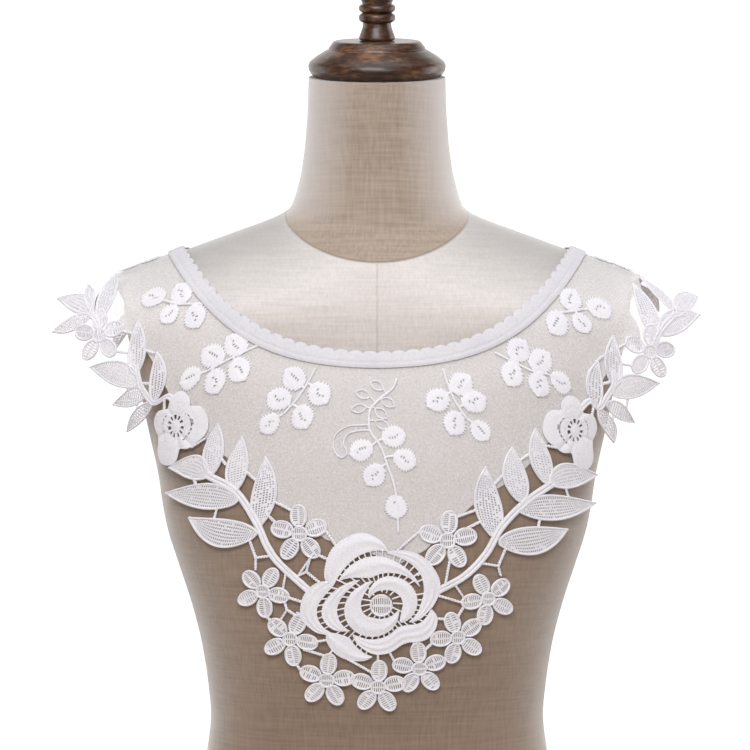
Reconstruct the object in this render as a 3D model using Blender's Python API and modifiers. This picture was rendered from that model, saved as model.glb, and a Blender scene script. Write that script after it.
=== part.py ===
"""Lace collar on a limbless dress form.

A sheer net yoke with a scalloped neck band lies round the shoulders. Cord lace is sewn along its
edge: a large rose and nine small flowers at the front, a leaf spray to each side, a rose at each
armhole, leaves and a flower on each shoulder, and a plain leaf edging at the back. Leaf sprigs are
embroidered on the net.

One smooth surface carries everything. It is known by two numbers: x, to the wearer's left, and s,
the way along the cloth from the shoulder ridge, down the front where s is positive and down the
back where it is negative. The dress form is that surface closed at its sides, and each piece of
cloth is a flat outline in (x, s) laid on it and given a thickness. Lengths are in millimetres
until a mesh is made.
"""

import math

import bmesh
import bpy
import numpy as np
from mathutils import Vector
from mathutils.geometry import delaunay_2d_cdt

MM = 0.001

# Heights, from the level of the side neck points
FORM_BOTTOM = -540.0
EYE_LEVEL = -122.0

# The front view: its grid has this many millimetres a step in the plane through the shoulders
VIEW_STEP = 0.755
VIEW_CENTRE = 377.0
VIEW_MIDDLE = 375.0
EYE_DISTANCE = 1805.0

# Layers, as distances out from the master surface
NET_LAYER = (0.9, 1.9)
LACE_LAYER = (2.65, 3.85)
SPRIG_LAYER = (2.65, 3.65)
PIECE_GAP = 0.6

# The triangulation: where a flat facet would dip further than this, the grid is halved
GRID = 14.0
LONGEST_EDGE = 15.0
LARGEST_DIP = 0.8
EDGE_CLEARANCE = 3.0
MERGE = 0.01
OUTLINE_TOLERANCE = 0.25
LARGEST_FILLED_HOLE = 12.0
LARGEST_SLOPE = 0.5

# Shoulder line
RIDGE_HEIGHT = 11.0
SHOULDER_SLOPE = 0.40
NECK_ROUND = 60.0

# The body's level sections, with half widths and depths from the middle plane
SECTION_COLUMNS = ("height", "cloth_width", "form_width", "front", "back", "power")
SECTIONS = (
    (11, 300, 200, 0, 0, 2.0),
    (6, 300, 200, 20, 24, 2.0),
    (0, 300, 200, 32, 40, 2.0),
    (-10, 299, 199, 44, 54, 2.0),
    (-20, 298, 198, 53, 63, 2.0),
    (-33, 297, 197, 63, 72, 2.0),
    (-50, 294, 194, 73, 80, 2.0),
    (-75, 284, 189, 84, 88, 2.0),
    (-100, 266, 184, 92, 92, 2.0),
    (-130, 236, 177, 100, 95, 2.1),
    (-163, 201, 173, 106, 95, 2.2),
    (-194, 182, 169, 110, 93, 2.3),
    (-217, 175, 167, 111, 90, 2.3),
    (-236, 171, 163, 112, 87, 2.3),
    (-262, 161, 155, 111, 82, 2.3),
    (-292, 150, 145, 108, 76, 2.3),
    (-322, 142, 137, 103, 71, 2.3),
    (-353, 137, 132, 96, 68, 2.3),
    (-375, 135, 130, 92, 67, 2.3),
    (-402, 138, 133, 90, 69, 2.3),
    (-450, 152, 147, 92, 82, 2.3),
    (-500, 167, 162, 95, 93, 2.3),
    (-560, 178, 172, 97, 100, 2.3),
)

# Rings of the dress form
RING_POINTS = 40
RING_HEIGHTS = (FORM_BOTTOM, -492, -448, -410, -378, -346, -310, -272, -240, -210, -182, -158, -136,
                -116, -98, -80, -64, -51, -40, -31, -23, -16, -9, -2, 6)
NECK_JOIN_HEIGHT = -50
SIDE_SQUARENESS = 12

# Neck: an oval tube that leans forward, as height, half width, half depth, middle and lean
NECK = (
    (-60, 70, 60, 2, 0),
    (-20, 68, 59, 0, 0),
    (0, 66, 58, -3, 1),
    (15, 61, 56, -6, 4),
    (30, 57, 54, -9, 7),
    (50, 54, 53, -13, 9),
    (75, 52, 52, -18, 11),
    (100, 51, 51, -23, 12),
)
NECK_RINGS = (15, 24, 36, 54, 76, 100)
NECK_FILLET = 7

# Turned wood, as radius and height up the leaning neck's own axis
CAP_PROFILE = (
    (0, 27.0), (32.0, 27.0), (34.5, 26.0), (35.5, 23.5), (37.0, 21.0), (44.0, 18.5), (49.0, 14.5),
    (51.3, 10.0), (51.0, 5.5), (48.5, 2.5), (46.5, 0.5), (0, 0.5),
)
FINIAL_PROFILE = (
    (0, 112.0), (5.0, 111.0), (8.8, 107.5), (10.0, 103.0), (8.6, 98.5), (5.6, 95.5), (5.0, 92.5),
    (9.0, 88.0), (13.6, 80.5), (15.2, 72.0), (14.2, 64.5), (11.3, 58.5), (13.6, 55.5), (13.6, 52.0),
    (10.6, 50.0), (10.6, 48.5), (13.6, 46.5), (13.6, 43.5), (10.2, 41.0), (10.2, 38.0),
    (13.6, 31.5), (13.6, 27.4), (0, 27.4),
)
TURNED_STEPS = 18

# Neckline: half an oval each way from the shoulder ridge
NECKLINE_WIDTH = 150.5
NECKLINE_FRONT = 165.0
NECKLINE_BACK = 106.0
NECKLINE_FULLNESS = 1.2
BAND_WIDTH = 12.5
SCALLOP_PITCH = 10.5
SCALLOP_DEPTH = 1.8
BACK_OPENING = 3.0

# Net: its lower edge at the front, which the lace covers, as places (u, v) in the front view
NET_EDGE_LEFT = (
    (99, 318), (114, 330), (140, 340), (160, 372), (172, 398), (196, 425), (216, 450), (238, 466),
    (258, 484), (282, 506), (300, 520), (326, 540), (350, 548),
)
NET_EDGE_RIGHT = (
    (400, 565), (425, 550), (447, 528), (470, 508), (492, 492), (514, 478), (538, 455), (556, 432),
    (572, 410), (590, 398), (606, 372), (622, 350), (646, 332),
)
NET_SIDE = ((-196.0, 8.0), (-194.0, 30.0))
NECKLINE_STEP = 12.0
BACK_HEM_WIDTH = 205.0
BACK_HEM_DEPTH = 184.0
BACK_HEM_FULLNESS = 0.9
BACK_HEM_ANGLES = (4, 89)
BACK_HEM_POINTS = 16
NET_SETBACK = 2.0
STEM_SETBACK = 4.0

# Large rose: arc-shaped petals round a middle, with their two end angles in degrees, and their
# radius at one end, in the middle and at the other end, and their width in millimetres
ROSE_PLACE = (382, 603)
ROSE_DISC = 8.5
ROSE_PETALS = (
    (83, 155, 37, 46, 40, 17),
    (154, 208, 39, 51, 43, 13),
    (144, 226, 27, 38, 31, 13),
    (21, 151, 30, 27, 35, 16),
    (-45, 83, 20, 37, 37, 13),
    (227, 358, 31, 28, 37, 12),
    (208, 263, 43, 41, 40, 12),
    (113, 332, 17, 21, 14, 14),
    (-42, 155, 20, 17, 12, 12),
)
ROSE_GAP = 3.2
PETAL_RELIEF = 1.0

# Side roses, at the armholes
SIDE_ROSE_PLACES = {"left": (178, 425), "right": (573, 430)}
SIDE_ROSE_RING = 13.0
SIDE_ROSE_PETALS = (
    (-12, 47, 13, 20, 14, 13),
    (38, 97, 13, 20, 13, 12),
    (92, 150, 12, 17, 13, 10),
    (140, 212, 12, 16, 14, 10),
    (205, 292, 14, 22, 15, 14),
    (284, 352, 14, 19, 13, 13),
)

# Five-petal flowers: place (u, v) in the front view, turn in degrees and reach in millimetres
UPPER_FLOWERS = {"left": (300, 533, 21, 21.0), "right": (447, 541, 13, 21.5)}
LOWER_FLOWERS = (
    (264, 591, 61, 19.5),
    (291, 638, 64, 20.3),
    (327, 679, 11, 20.7),
    (378, 687, 14, 20.5),
    (419, 667, 22, 20.0),
    (457, 637, 37, 19.9),
    (487, 598, 43, 19.7),
)
SHOULDER_FLOWERS = {"left": (101, 337, 19, 19.5), "right": (648, 353, 14, 20.0)}
FLOWER_DISC = 0.27
PETAL_MIDDLE = 0.60
PETAL_WIDTH = 0.60

# Leaves: base (u, v) and tip (u, v) in the front view, width and sideways bend in millimetres
SPRAY_LEAVES = {
    "left": (
        (259, 529, 266, 457, 19, 2),
        (237, 491, 243, 436, 17, -1),
        (214, 474, 219, 422, 16, -1),
        (210, 475, 171, 467, 16, 4),
        (241, 500, 168, 493, 18, 1),
        (260, 533, 191, 516, 19, -5),
    ),
    "right": (
        (494, 538, 485, 466, 21, -2),
        (519, 504, 511, 446, 19, -1),
        (545, 486, 534, 429, 17, -1),
        (547, 484, 595, 473, 17, -3),
        (515, 511, 593, 502, 18, 0),
        (496, 544, 565, 529, 19, 3),
    ),
}
STEM_WIDTH = 4.4
SIDE_STEM_WIDTH = 3.5
SPRAY_STEMS = {
    "left": ((306, 587), (281, 565), (268, 545), (258, 522), (237, 492), (208, 473)),
    "right": ((436, 592), (464, 574), (485, 553), (500, 528), (524, 501), (552, 482)),
}
SIDE_STEMS = {
    "left": ((177, 408), (170, 396), (156, 402), (147, 394), (141, 382), (138, 366)),
    "right": ((578, 410), (588, 400), (597, 408), (606, 396), (612, 384), (612, 370)),
}
SIDE_LEAVES = {
    "left": (
        (156, 402, 158, 351, 13, 2),
        (138, 377, 139, 322, 14, 0),
        (141, 385, 92, 366, 15, 2),
        (148, 395, 115, 403, 14, 2),
        (154, 402, 130, 430, 13, 2),
    ),
    "right": (
        (594, 408, 597, 362, 13, -2),
        (612, 386, 612, 335, 14, 0),
        (610, 394, 657, 383, 15, -2),
        (604, 403, 632, 420, 14, -2),
        (597, 408, 611, 442, 13, -2),
    ),
}
SHOULDER_LEAVES = {
    "left": (
        (100, 326, 118, 277, 14, 1),
        (92, 314, 90, 288, 8, 0),
        (94, 316, 59, 302, 14, 1),
        (94, 318, 55, 332, 11, -1),
    ),
    "right": (
        (654, 344, 631, 286, 16, 2),
        (676, 318, 638, 280, 12, 0),
        (672, 320, 696, 297, 13, 0),
        (656, 336, 698, 318, 14, -2),
    ),
}
SHOULDER_STEMS = {
    "left": ((101, 335), (99, 324), (91, 314)),
    "right": ((651, 348), (659, 332), (674, 317)),
}

# Bars: thin twisted cords between the motifs, each from one place (u, v) to another
BAR_WIDTH = 1.9
SPRAY_BARS = {
    "left": (
        (250, 536, 257, 557), (257, 557, 257, 567), (257, 557, 272, 554), (196, 478, 199, 486),
        (220, 504, 216, 519), (214, 446, 227, 463), (240, 466, 258, 482), (268, 498, 292, 510),
        (266, 512, 279, 524), (287, 570, 284, 588), (296, 579, 312, 556),
    ),
    "right": (
        (478, 563, 497, 566), (497, 566, 505, 546), (497, 566, 499, 573),(562, 482, 566, 497),
        (540, 507, 536, 529), (534, 450, 518, 461), (508, 468, 492, 486), (482, 508, 456, 516),
        (484, 518, 466, 527), (452, 580, 463, 596), (444, 588, 449, 560),
    ),
}
ROSE_BARS = (
    (323, 526, 340, 550), (315, 552, 340, 566), (312, 553, 307, 571), (307, 571, 297, 577),
    (307, 571, 326, 588), (286, 597, 310, 603), (298, 612, 314, 620), (314, 641, 334, 638),
    (326, 657, 338, 644), (378, 662, 378, 648), (388, 648, 397, 666), (415, 646, 408, 630),
    (430, 618, 448, 618), (464, 602, 430, 594), (424, 568, 418, 574), (421, 529, 392, 556),
)
FLOWER_BARS = (
    (284, 595, 288, 608), (288, 608, 280, 622), (288, 608, 300, 618), (265, 612, 275, 624),
    (296, 660, 304, 674), (344, 676, 360, 678), (394, 680, 408, 688), (434, 658, 454, 660),
    (472, 618, 488, 618), (456, 618, 466, 600), (305, 648, 332, 656), (374, 674, 348, 658),
    (436, 638, 424, 650),
)
SIDE_BARS = {
    "left": (
        (112, 330, 134, 334), (113, 350, 136, 354), (155, 353, 142, 348), (166, 400, 166, 412),
        (128, 392, 132, 384), (138, 398, 140, 408), (194, 448, 206, 438), (160, 384, 145, 384),
    ),
    "right": (
        (630, 343, 616, 347), (636, 366, 620, 364), (594, 361, 610, 352), (592, 404, 590, 416),
        (626, 394, 624, 406), (610, 418, 614, 410), (556, 448, 544, 446), (596, 384, 611, 381),
    ),
}

# Sprigs on the net: the stem as a line through places, and for each leaf the place (u, v) of its
# middle and its direction in degrees
SPRIG_LEAF = (17.0, 14.0)
SPRIG_STEM = 1.9
SPRIG_LEAF_STEM = 2.5
SPRIGS = {
    "left_1": {
        "stem": ((203, 306), (178, 305), (160, 301)),
        "leaves": ((154, 298, 176), (182, 294, 118), (170, 315, 232), (196, 318, 290)),
    },
    "left_2": {
        "stem": ((262, 344), (240, 354), (224, 362), (208, 371)),
        "leaves": ((236, 345, 140), (213, 357, 150), (191, 379, 205), (216, 382, 282),
                   (240, 371, 300)),
    },
    "left_3": {
        "stem": ((316, 368), (308, 383), (297, 400), (284, 414)),
        "leaves": ((294, 378, 135), (320, 396, 310), (279, 398, 160), (303, 417, 290),
                   (270, 425, 225)),
    },
    "right_1": {
        "stem": ((549, 314), (566, 313), (584, 310)),
        "leaves": ((570, 301, 62), (556, 325, 240), (581, 325, 300), (599, 310, 10)),
    },
    "right_2": {
        "stem": ((494, 352), (510, 362), (530, 370), (548, 376)),
        "leaves": ((518, 351, 50), (511, 375, 250), (540, 362, 40), (538, 384, 262),
                   (560, 383, 330)),
    },
    "right_3": {
        "stem": ((443, 368), (447, 385), (455, 403), (466, 418)),
        "leaves": ((461, 383, 40), (437, 401, 215), (474, 403, 20), (454, 424, 250),
                   (480, 432, 310)),
    },
    "centre": {
        "stem": ((397, 378), (392, 390), (379, 399), (370, 410), (370, 430), (381, 447),
                 (388, 468), (394, 485), (397, 505), (398, 532)),
        "leaves": ((394, 437, 8), (361, 450, 200), (405, 460, 335), (374, 476, 235),
                   (396, 506, 275)),
    },
}
CENTRE_LEAF = (11.0, 6.2)
CENTRE_LEAVES = ((377, 385, 150), (363, 395, 160), (359, 410, 190), (388, 402, 330),
                 (381, 413, 320), (382, 426, 330))
CURL = ((371, 428), (350, 428), (337, 438), (334, 450), (341, 458))

# Back: a stem along the hem, with leaves in pairs and flowers between them, placed by hem angle
BACK_STEM_ENDS = (3, 81)
BACK_STEM_POINTS = 20
BACK_LEAF_ANGLES = (8, 19, 30, 52, 63, 74)
BACK_FLOWER_ANGLES = (41, 83.5)
BACK_LEAF = (28.0, 13.0)
BACK_LEAF_BEND = 1.5
BACK_LEAF_SPREAD = 50
BACK_FLOWER_REACH = 16.0
BACK_FLOWER_TURN = 18
BACK_SPRIG_LEAVES = ((-169, 8, 240), (-185, 4, 200), (-172, -20, 110), (-187, -15, 160))
BACK_SPRIG_STEM = ((-157, -7), (-166, -7), (-178, -6))

LINEN = ((0.62, 0.57, 0.49), 0.95, 0.0)
WALNUT = ((0.075, 0.030, 0.018), 0.32, 0.0)
NET_WHITE = ((0.80, 0.79, 0.77), 0.85, 0.0)
LACE_WHITE = ((0.88, 0.87, 0.90), 0.70, 0.0)


# Scene, materials and meshes

def clear_scene():
    for obj in list(bpy.data.objects):
        bpy.data.objects.remove(obj)


def material(name, look):
    colour, roughness, metallic = look
    made = bpy.data.materials.get(name) or bpy.data.materials.new(name)
    made.use_nodes = True
    shader = made.node_tree.nodes["Principled BSDF"]
    shader.inputs["Base Color"].default_value = (*colour, 1.0)
    shader.inputs["Roughness"].default_value = roughness
    shader.inputs["Metallic"].default_value = metallic
    return made


def add_object(name, mesh, look):
    """A mesh in metres becomes a named object in the collar's collection."""
    mesh.materials.append(look)
    obj = bpy.data.objects.new(name, mesh)
    bpy.data.collections["lace_collar"].objects.link(obj)
    return obj


# The master surface

def section_curve(column):
    """A smooth curve through one column of the sections, with no overshoot, as a function of height."""
    rows = sorted(SECTIONS)
    height = np.array([row[0] for row in rows], float)
    value = np.array([row[SECTION_COLUMNS.index(column)] for row in rows], float)
    step = np.diff(height)
    slope = np.diff(value) / step
    tangent = np.zeros_like(height)
    tangent[0], tangent[-1] = slope[0], slope[-1]
    for i in range(1, len(height) - 1):
        if slope[i - 1] * slope[i] > 0:
            before = 2 * step[i] + step[i - 1]
            after = step[i] + 2 * step[i - 1]
            tangent[i] = (before + after) / (before / slope[i - 1] + after / slope[i])

    def at(z):
        z = np.clip(z, height[0], height[-1])
        i = np.clip(np.searchsorted(height, z) - 1, 0, len(step) - 1)
        t = (z - height[i]) / step[i]
        start = (1 + 2 * t) * (1 - t) ** 2 * value[i] + t * (1 - t) ** 2 * step[i] * tangent[i]
        return start + t * t * (3 - 2 * t) * value[i + 1] + t * t * (t - 1) * step[i] * tangent[i + 1]

    return at


CURVES = {column: section_curve(column) for column in SECTION_COLUMNS[1:]}


def half_width(z, limit):
    """Half width of a level section: the shoulder line above, the body's side below."""
    reach = (RIDGE_HEIGHT - z) / SHOULDER_SLOPE
    shoulder = np.sqrt(np.maximum((NECK_ROUND + reach) ** 2 - NECK_ROUND ** 2, 1e-6))
    side = CURVES[limit](z)
    return (shoulder ** -10.0 + side ** -10.0) ** -0.1


def depth(x, z, front):
    """How far the surface lies from the middle plane at x and height z."""
    power = CURVES["power"](z)
    across = np.clip(np.abs(x) / half_width(z, "cloth_width"), 0, 1)
    deep = np.where(front, CURVES["front"](z), CURVES["back"](z))
    return deep * (1 - across ** power) ** (1 / power)


class Surface:
    """Points and normals of the master surface at any (x, s), read from arches over the ridge."""

    step = 2.0
    x_limit = 250.0
    s_limits = (-300.0, 480.0)
    arch_points = 1500
    arch_drop = {True: 560.0, False: 400.0}
    ridge_bottom = -80.0
    sight_range = (-160.0, 40.0)
    sight_points = 2001

    def __init__(self):
        heights = np.linspace(RIDGE_HEIGHT - 0.1, self.ridge_bottom, self.sight_points)
        widths = half_width(heights, "cloth_width")
        widest = np.argmax(widths)
        self.ridge_widths = widths[:widest + 1]
        self.ridge_heights = heights[:widest + 1]
        self.xs = np.arange(-self.x_limit, self.x_limit + self.step / 2, self.step)
        self.ss = np.arange(self.s_limits[0], self.s_limits[1] + self.step / 2, self.step)
        self.points = np.array([self.arch(x) for x in self.xs])
        along_x, along_s = np.gradient(self.points, axis=(0, 1))
        normals = np.cross(along_s, along_x)
        self.normals = normals / np.linalg.norm(normals, axis=2, keepdims=True)

    def ridge(self, x):
        return np.interp(np.abs(x), self.ridge_widths, self.ridge_heights)

    def arch(self, x):
        """The line over the shoulder at one x, as points spaced evenly along the cloth."""
        line = np.zeros((len(self.ss), 3))
        line[:, 0] = x
        for front in (True, False):
            z = self.ridge(x) - self.arch_drop[front] * np.linspace(0, 1, self.arch_points) ** 2
            y = depth(x, z, front) * (-1 if front else 1)
            y[0] = 0
            way = np.concatenate([[0], np.cumsum(np.hypot(np.diff(y), np.diff(z)))])
            here = self.ss >= 0 if front else self.ss <= 0
            line[here, 1] = np.interp(np.abs(self.ss[here]), way, y)
            line[here, 2] = np.interp(np.abs(self.ss[here]), way, z)
        return line

    def read(self, table, flat):
        flat = np.asarray(flat, float)
        a = np.clip((flat[..., 0] + self.x_limit) / self.step, 0, len(self.xs) - 1.001)
        b = np.clip((flat[..., 1] - self.s_limits[0]) / self.step, 0, len(self.ss) - 1.001)
        i, j = a.astype(int), b.astype(int)
        a, b = (a - i)[..., None], (b - j)[..., None]
        near = (1 - b) * table[i, j] + b * table[i, j + 1]
        far = (1 - b) * table[i + 1, j] + b * table[i + 1, j + 1]
        return (1 - a) * near + a * far

    def lift(self, flat, out):
        """Flat places laid on the surface and moved out from it."""
        out = np.asarray(out, float)
        return self.read(self.points, flat) + self.read(self.normals, flat) * out[..., None]

    def seen_at(self, u, v):
        """The (x, s) of a place in the front view: where its line of sight meets the cloth."""
        y = np.linspace(*self.sight_range, self.sight_points)
        along = (EYE_DISTANCE + y) / EYE_DISTANCE
        x = (VIEW_MIDDLE - VIEW_CENTRE) * VIEW_STEP + (u - VIEW_MIDDLE) * VIEW_STEP * along
        z = EYE_LEVEL - (v - VIEW_MIDDLE) * VIEW_STEP * along
        inside = (z < self.ridge(x)) & (y > -depth(x, z, True))
        if not inside.any():
            return np.array([(u - VIEW_CENTRE) * VIEW_STEP, 0.0])
        hit = np.argmax(inside)
        front = self.ss >= 0
        arch = self.read(self.points, np.stack([np.full(front.sum(), x[hit]), self.ss[front]], -1))
        nearest = np.argmin(np.hypot(arch[:, 1] - y[hit], arch[:, 2] - z[hit]))
        return np.array([x[hit], self.ss[front][nearest]])


SURFACE = Surface()


def spot(place):
    return SURFACE.seen_at(*place)


# Outlines in the (x, s) plane, as closed loops of points that run anticlockwise

def area(loop):
    x, s = loop[:, 0], loop[:, 1]
    return 0.5 * np.sum(x * np.roll(s, -1) - np.roll(x, -1) * s)


def anticlockwise(loop):
    return loop if area(loop) > 0 else loop[::-1]


def level_slope(place):
    """How much s changes with x along the surface's level line through a place."""
    reach = np.array([[-1.0, 0.0], [1.0, 0.0], [0.0, -1.0], [0.0, 1.0]])
    left, right, above, below = SURFACE.read(SURFACE.points, np.asarray(place) + reach)[:, 2]
    fall = above - below
    slope = (right - left) / fall if fall else 0.0
    return max(-LARGEST_SLOPE, min(LARGEST_SLOPE, slope))


def beside(centre, aside, above):
    """A place level with a centre and then towards the ridge from it, by two distances."""
    return np.asarray(centre) + np.stack([aside, level_slope(centre) * aside - above], -1)


def around(centre, radius, angle):
    """A place at a radius and an angle, seen from the front: angles turn from +X towards the ridge."""
    return beside(centre, radius * np.cos(angle), radius * np.sin(angle))


def disc(centre, radius, points=10):
    return anticlockwise(around(centre, radius, np.linspace(0, math.tau, points, endpoint=False)))


def ribbon(path, widths):
    """A strip along a path, with a width at each point of it."""
    path = np.asarray(path, float)
    along = np.gradient(path, axis=0)
    along /= np.linalg.norm(along, axis=1, keepdims=True)
    aside = np.stack([-along[:, 1], along[:, 0]], -1) * np.asarray(widths, float)[:, None] / 2
    return anticlockwise(np.concatenate([path + aside, (path - aside)[::-1]]))


def smooth_path(places, pieces=3):
    """A curve through places, each stretch cut into a few pieces."""
    p = np.asarray(places, float)
    p = np.concatenate([[2 * p[0] - p[1]], p, [2 * p[-1] - p[-2]]])
    made = []
    for a, b, c, d in zip(p, p[1:], p[2:], p[3:]):
        for t in np.linspace(0, 1, pieces, endpoint=False):
            made.append(0.5 * (2 * b + (c - a) * t + (2 * a - 5 * b + 4 * c - d) * t * t
                               + (3 * b - a - 3 * c + d) * t ** 3))
    return np.array([*made, p[-2]])


def leaf(base, tip, width, bend, points=5):
    """A pointed leaf, widest below its middle, whose midrib bends aside."""
    base, tip = np.asarray(base, float), np.asarray(tip, float)
    along = tip - base
    aside = np.array([-along[1], along[0]]) / np.linalg.norm(along)
    t = np.linspace(0.06, 1, points + 1)[:, None]
    midrib = base + along * t + aside * bend * 4 * t * (1 - t)
    half = width / 2 * np.sin(math.pi * t ** 0.80) ** 0.85
    return anticlockwise(np.concatenate([midrib + aside * half, (midrib - aside * half)[-2::-1]]))


def petal(centre, row, points=6):
    """An arc-shaped rose petal, thickest in its middle, and the crest line along it."""
    start, stop, near, middle, far, width = row
    t = np.linspace(0, 1, points + 1)
    angle = np.radians(start + (stop - start) * t)
    radius = near * (1 - t) * (1 - 2 * t) + middle * 4 * t * (1 - t) + far * t * (2 * t - 1)
    half = width / 2 * (0.25 + 0.75 * np.sin(math.pi * t) ** 0.7)
    outer = around(centre, radius + half, angle)
    inner = around(centre, radius - half, angle)
    return anticlockwise(np.concatenate([outer, inner[::-1]])), around(centre, radius + half * 0.3, angle)


def flower(centre, turn, reach):
    """Five round petals and a disc."""
    made = [disc(centre, reach * FLOWER_DISC, 8)]
    angle = np.linspace(0, math.tau, 9, endpoint=False)
    out = reach * (PETAL_MIDDLE + (1 - PETAL_MIDDLE) * np.cos(angle))
    side = reach * PETAL_WIDTH / 2 * np.sin(angle)
    for k in range(5):
        heading = math.radians(turn + 72 * k)
        aside = out * math.cos(heading) - side * math.sin(heading)
        above = out * math.sin(heading) + side * math.cos(heading)
        made.append(anticlockwise(beside(centre, aside, above)))
    return made


def seen_flower(row):
    u, v, turn, reach = row
    return flower(spot((u, v)), turn, reach)


def seen_leaf(row):
    base_u, base_v, tip_u, tip_v, width, bend = row
    return leaf(spot((base_u, base_v)), spot((tip_u, tip_v)), width, bend)


def seen_bar(row):
    start, end = spot(row[:2]), spot(row[2:])
    return ribbon(np.linspace(start, end, 2), [BAR_WIDTH] * 2)


def seen_stem(places, width):
    path = smooth_path([spot(place) for place in places])
    return ribbon(path, [width] * len(path))


def grown(loop, by):
    """An outline moved outwards by a small distance."""
    loop = anticlockwise(loop)
    before = loop - np.roll(loop, 1, axis=0)
    after = np.roll(loop, -1, axis=0) - loop
    before /= np.linalg.norm(before, axis=1, keepdims=True) + 1e-9
    after /= np.linalg.norm(after, axis=1, keepdims=True) + 1e-9
    normal = np.stack([before[:, 1] + after[:, 1], -before[:, 0] - after[:, 0]], -1)
    lean = np.maximum(np.sum(normal ** 2, axis=1, keepdims=True) / 2, 0.5)
    return loop + normal / lean * by


# Flat regions

def triangles(loops, points):
    """Delaunay triangles over loops and loose points, each with the loops that it lies in."""
    corners = [Vector(p) for loop in loops for p in loop] + [Vector(p) for p in points]
    faces, start = [], 0
    for loop in loops:
        faces.append(list(range(start, start + len(loop))))
        start += len(loop)
    made, _, cells, _, _, inside = delaunay_2d_cdt(corners, [], faces, 0, MERGE)
    return np.array([p[:] for p in made]), cells, inside


def without_pinches(cells, kept):
    """Keeps more cells until no two kept ones meet at a corner alone."""
    while True:
        edges = {}
        for k in np.flatnonzero(kept):
            cell = cells[k]
            for a, b in zip(cell, [*cell[1:], cell[0]]):
                edges[(a, b)] = k
        outside = [edge for edge in edges if edge[::-1] not in edges]
        starts = [a for a, _ in outside]
        pinched = {a for a in starts if starts.count(a) > 1} if len(set(starts)) < len(starts) else set()
        if not pinched:
            return kept, outside
        for k, cell in enumerate(cells):
            if not kept[k] and pinched & set(cell):
                kept[k] = True


def union(solid, cut=()):
    """The loops round the solid outlines joined together, less the cut ones."""
    loops = [anticlockwise(loop) for loop in (*solid, *cut)]
    points, cells, inside = triangles(loops, [])
    kept = np.array([any(i < len(solid) for i in ids) and not any(i >= len(solid) for i in ids)
                     for ids in inside])
    kept = largest_body(cells, kept)
    kept, outside = without_pinches(cells, kept)
    following = dict(outside)
    found = []
    while following:
        start, here = following.popitem()
        chain = [start]
        while here != start:
            chain.append(here)
            here = following.pop(here)
        found.append(points[chain])
    return [thinned(loop) for loop in found if area(loop) > 0 or -area(loop) > LARGEST_FILLED_HOLE]


def largest_body(cells, kept):
    """Drops scraps that a cut has parted from the rest."""
    edges, parent = {}, {k: k for k in np.flatnonzero(kept)}

    def root(k):
        while parent[k] != k:
            parent[k] = parent[parent[k]]
            k = parent[k]
        return k

    for k in parent:
        cell = cells[k]
        for a, b in zip(cell, [*cell[1:], cell[0]]):
            other = edges.setdefault((min(a, b), max(a, b)), k)
            parent[root(k)] = root(other)
    sizes = {}
    for k in parent:
        sizes[root(k)] = sizes.get(root(k), 0) + 1
    best = max(sizes, key=sizes.get)
    return np.array([bool(kept[k]) and root(k) == best for k in range(len(cells))])


def thinned(loop):
    """A loop without the points that lie almost on a straight line or on each other."""
    points = list(loop)
    i = 0
    while i < len(points) and len(points) > 4:
        a, b, c = points[i - 1], points[i], points[(i + 1) % len(points)]
        chord = c - a
        length = np.hypot(*chord)
        off = abs(chord[0] * (b - a)[1] - chord[1] * (b - a)[0]) / max(length, 1e-6)
        if off < OUTLINE_TOLERANCE and length < LONGEST_EDGE or np.hypot(*(b - a)) < 0.3:
            points.pop(i)
        else:
            i += 1
    return np.array(points)


def dip(middle, reach):
    """How far the middle of a straight line between two places lies below the surface."""
    ends = SURFACE.read(SURFACE.points, middle - reach) + SURFACE.read(SURFACE.points, middle + reach)
    return np.linalg.norm(SURFACE.read(SURFACE.points, middle) - ends / 2, axis=-1)


def split_edges(loop):
    """A loop with its long edges split, so that it follows the surface."""
    made = []
    for a, b in zip(loop, np.roll(loop, -1, axis=0)):
        low = math.sqrt(dip((a + b) / 2, (b - a) / 2) / LARGEST_DIP)
        pieces = max(1, math.ceil(np.hypot(*(b - a)) / LONGEST_EDGE), math.ceil(low))
        made += [a + (b - a) * k / pieces for k in range(pieces)]
    return np.array(made)


def grid_points(loops):
    """Points of the grid that all pieces share, kept clear of the loops."""
    every = np.concatenate(loops)
    low, high = np.floor(every.min(0) / GRID), np.ceil(every.max(0) / GRID)
    x, s = np.meshgrid(np.arange(low[0], high[0] + 0.5, 0.5), np.arange(low[1], high[1] + 0.5, 0.5))
    steps = np.stack([x.ravel(), s.ravel()], -1)
    points = steps * GRID
    deepest = np.max([dip(points, np.array(way) * GRID / 2) for way in ((1, 1), (1, -1), (0, 1.4))], axis=0)
    points = points[(steps % 1 == 0).all(1) | (deepest > LARGEST_DIP)]
    clear = np.full(len(points), np.inf)
    for loop in loops:
        for a, b in zip(loop, np.roll(loop, -1, axis=0)):
            along = (b - a) / max(np.dot(b - a, b - a), 1e-9)
            t = np.clip((points - a) @ along, 0, 1)
            clear = np.minimum(clear, np.hypot(*(points - a - t[:, None] * (b - a)).T))
    return points[clear > EDGE_CLEARANCE]


# Cloth pieces

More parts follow.
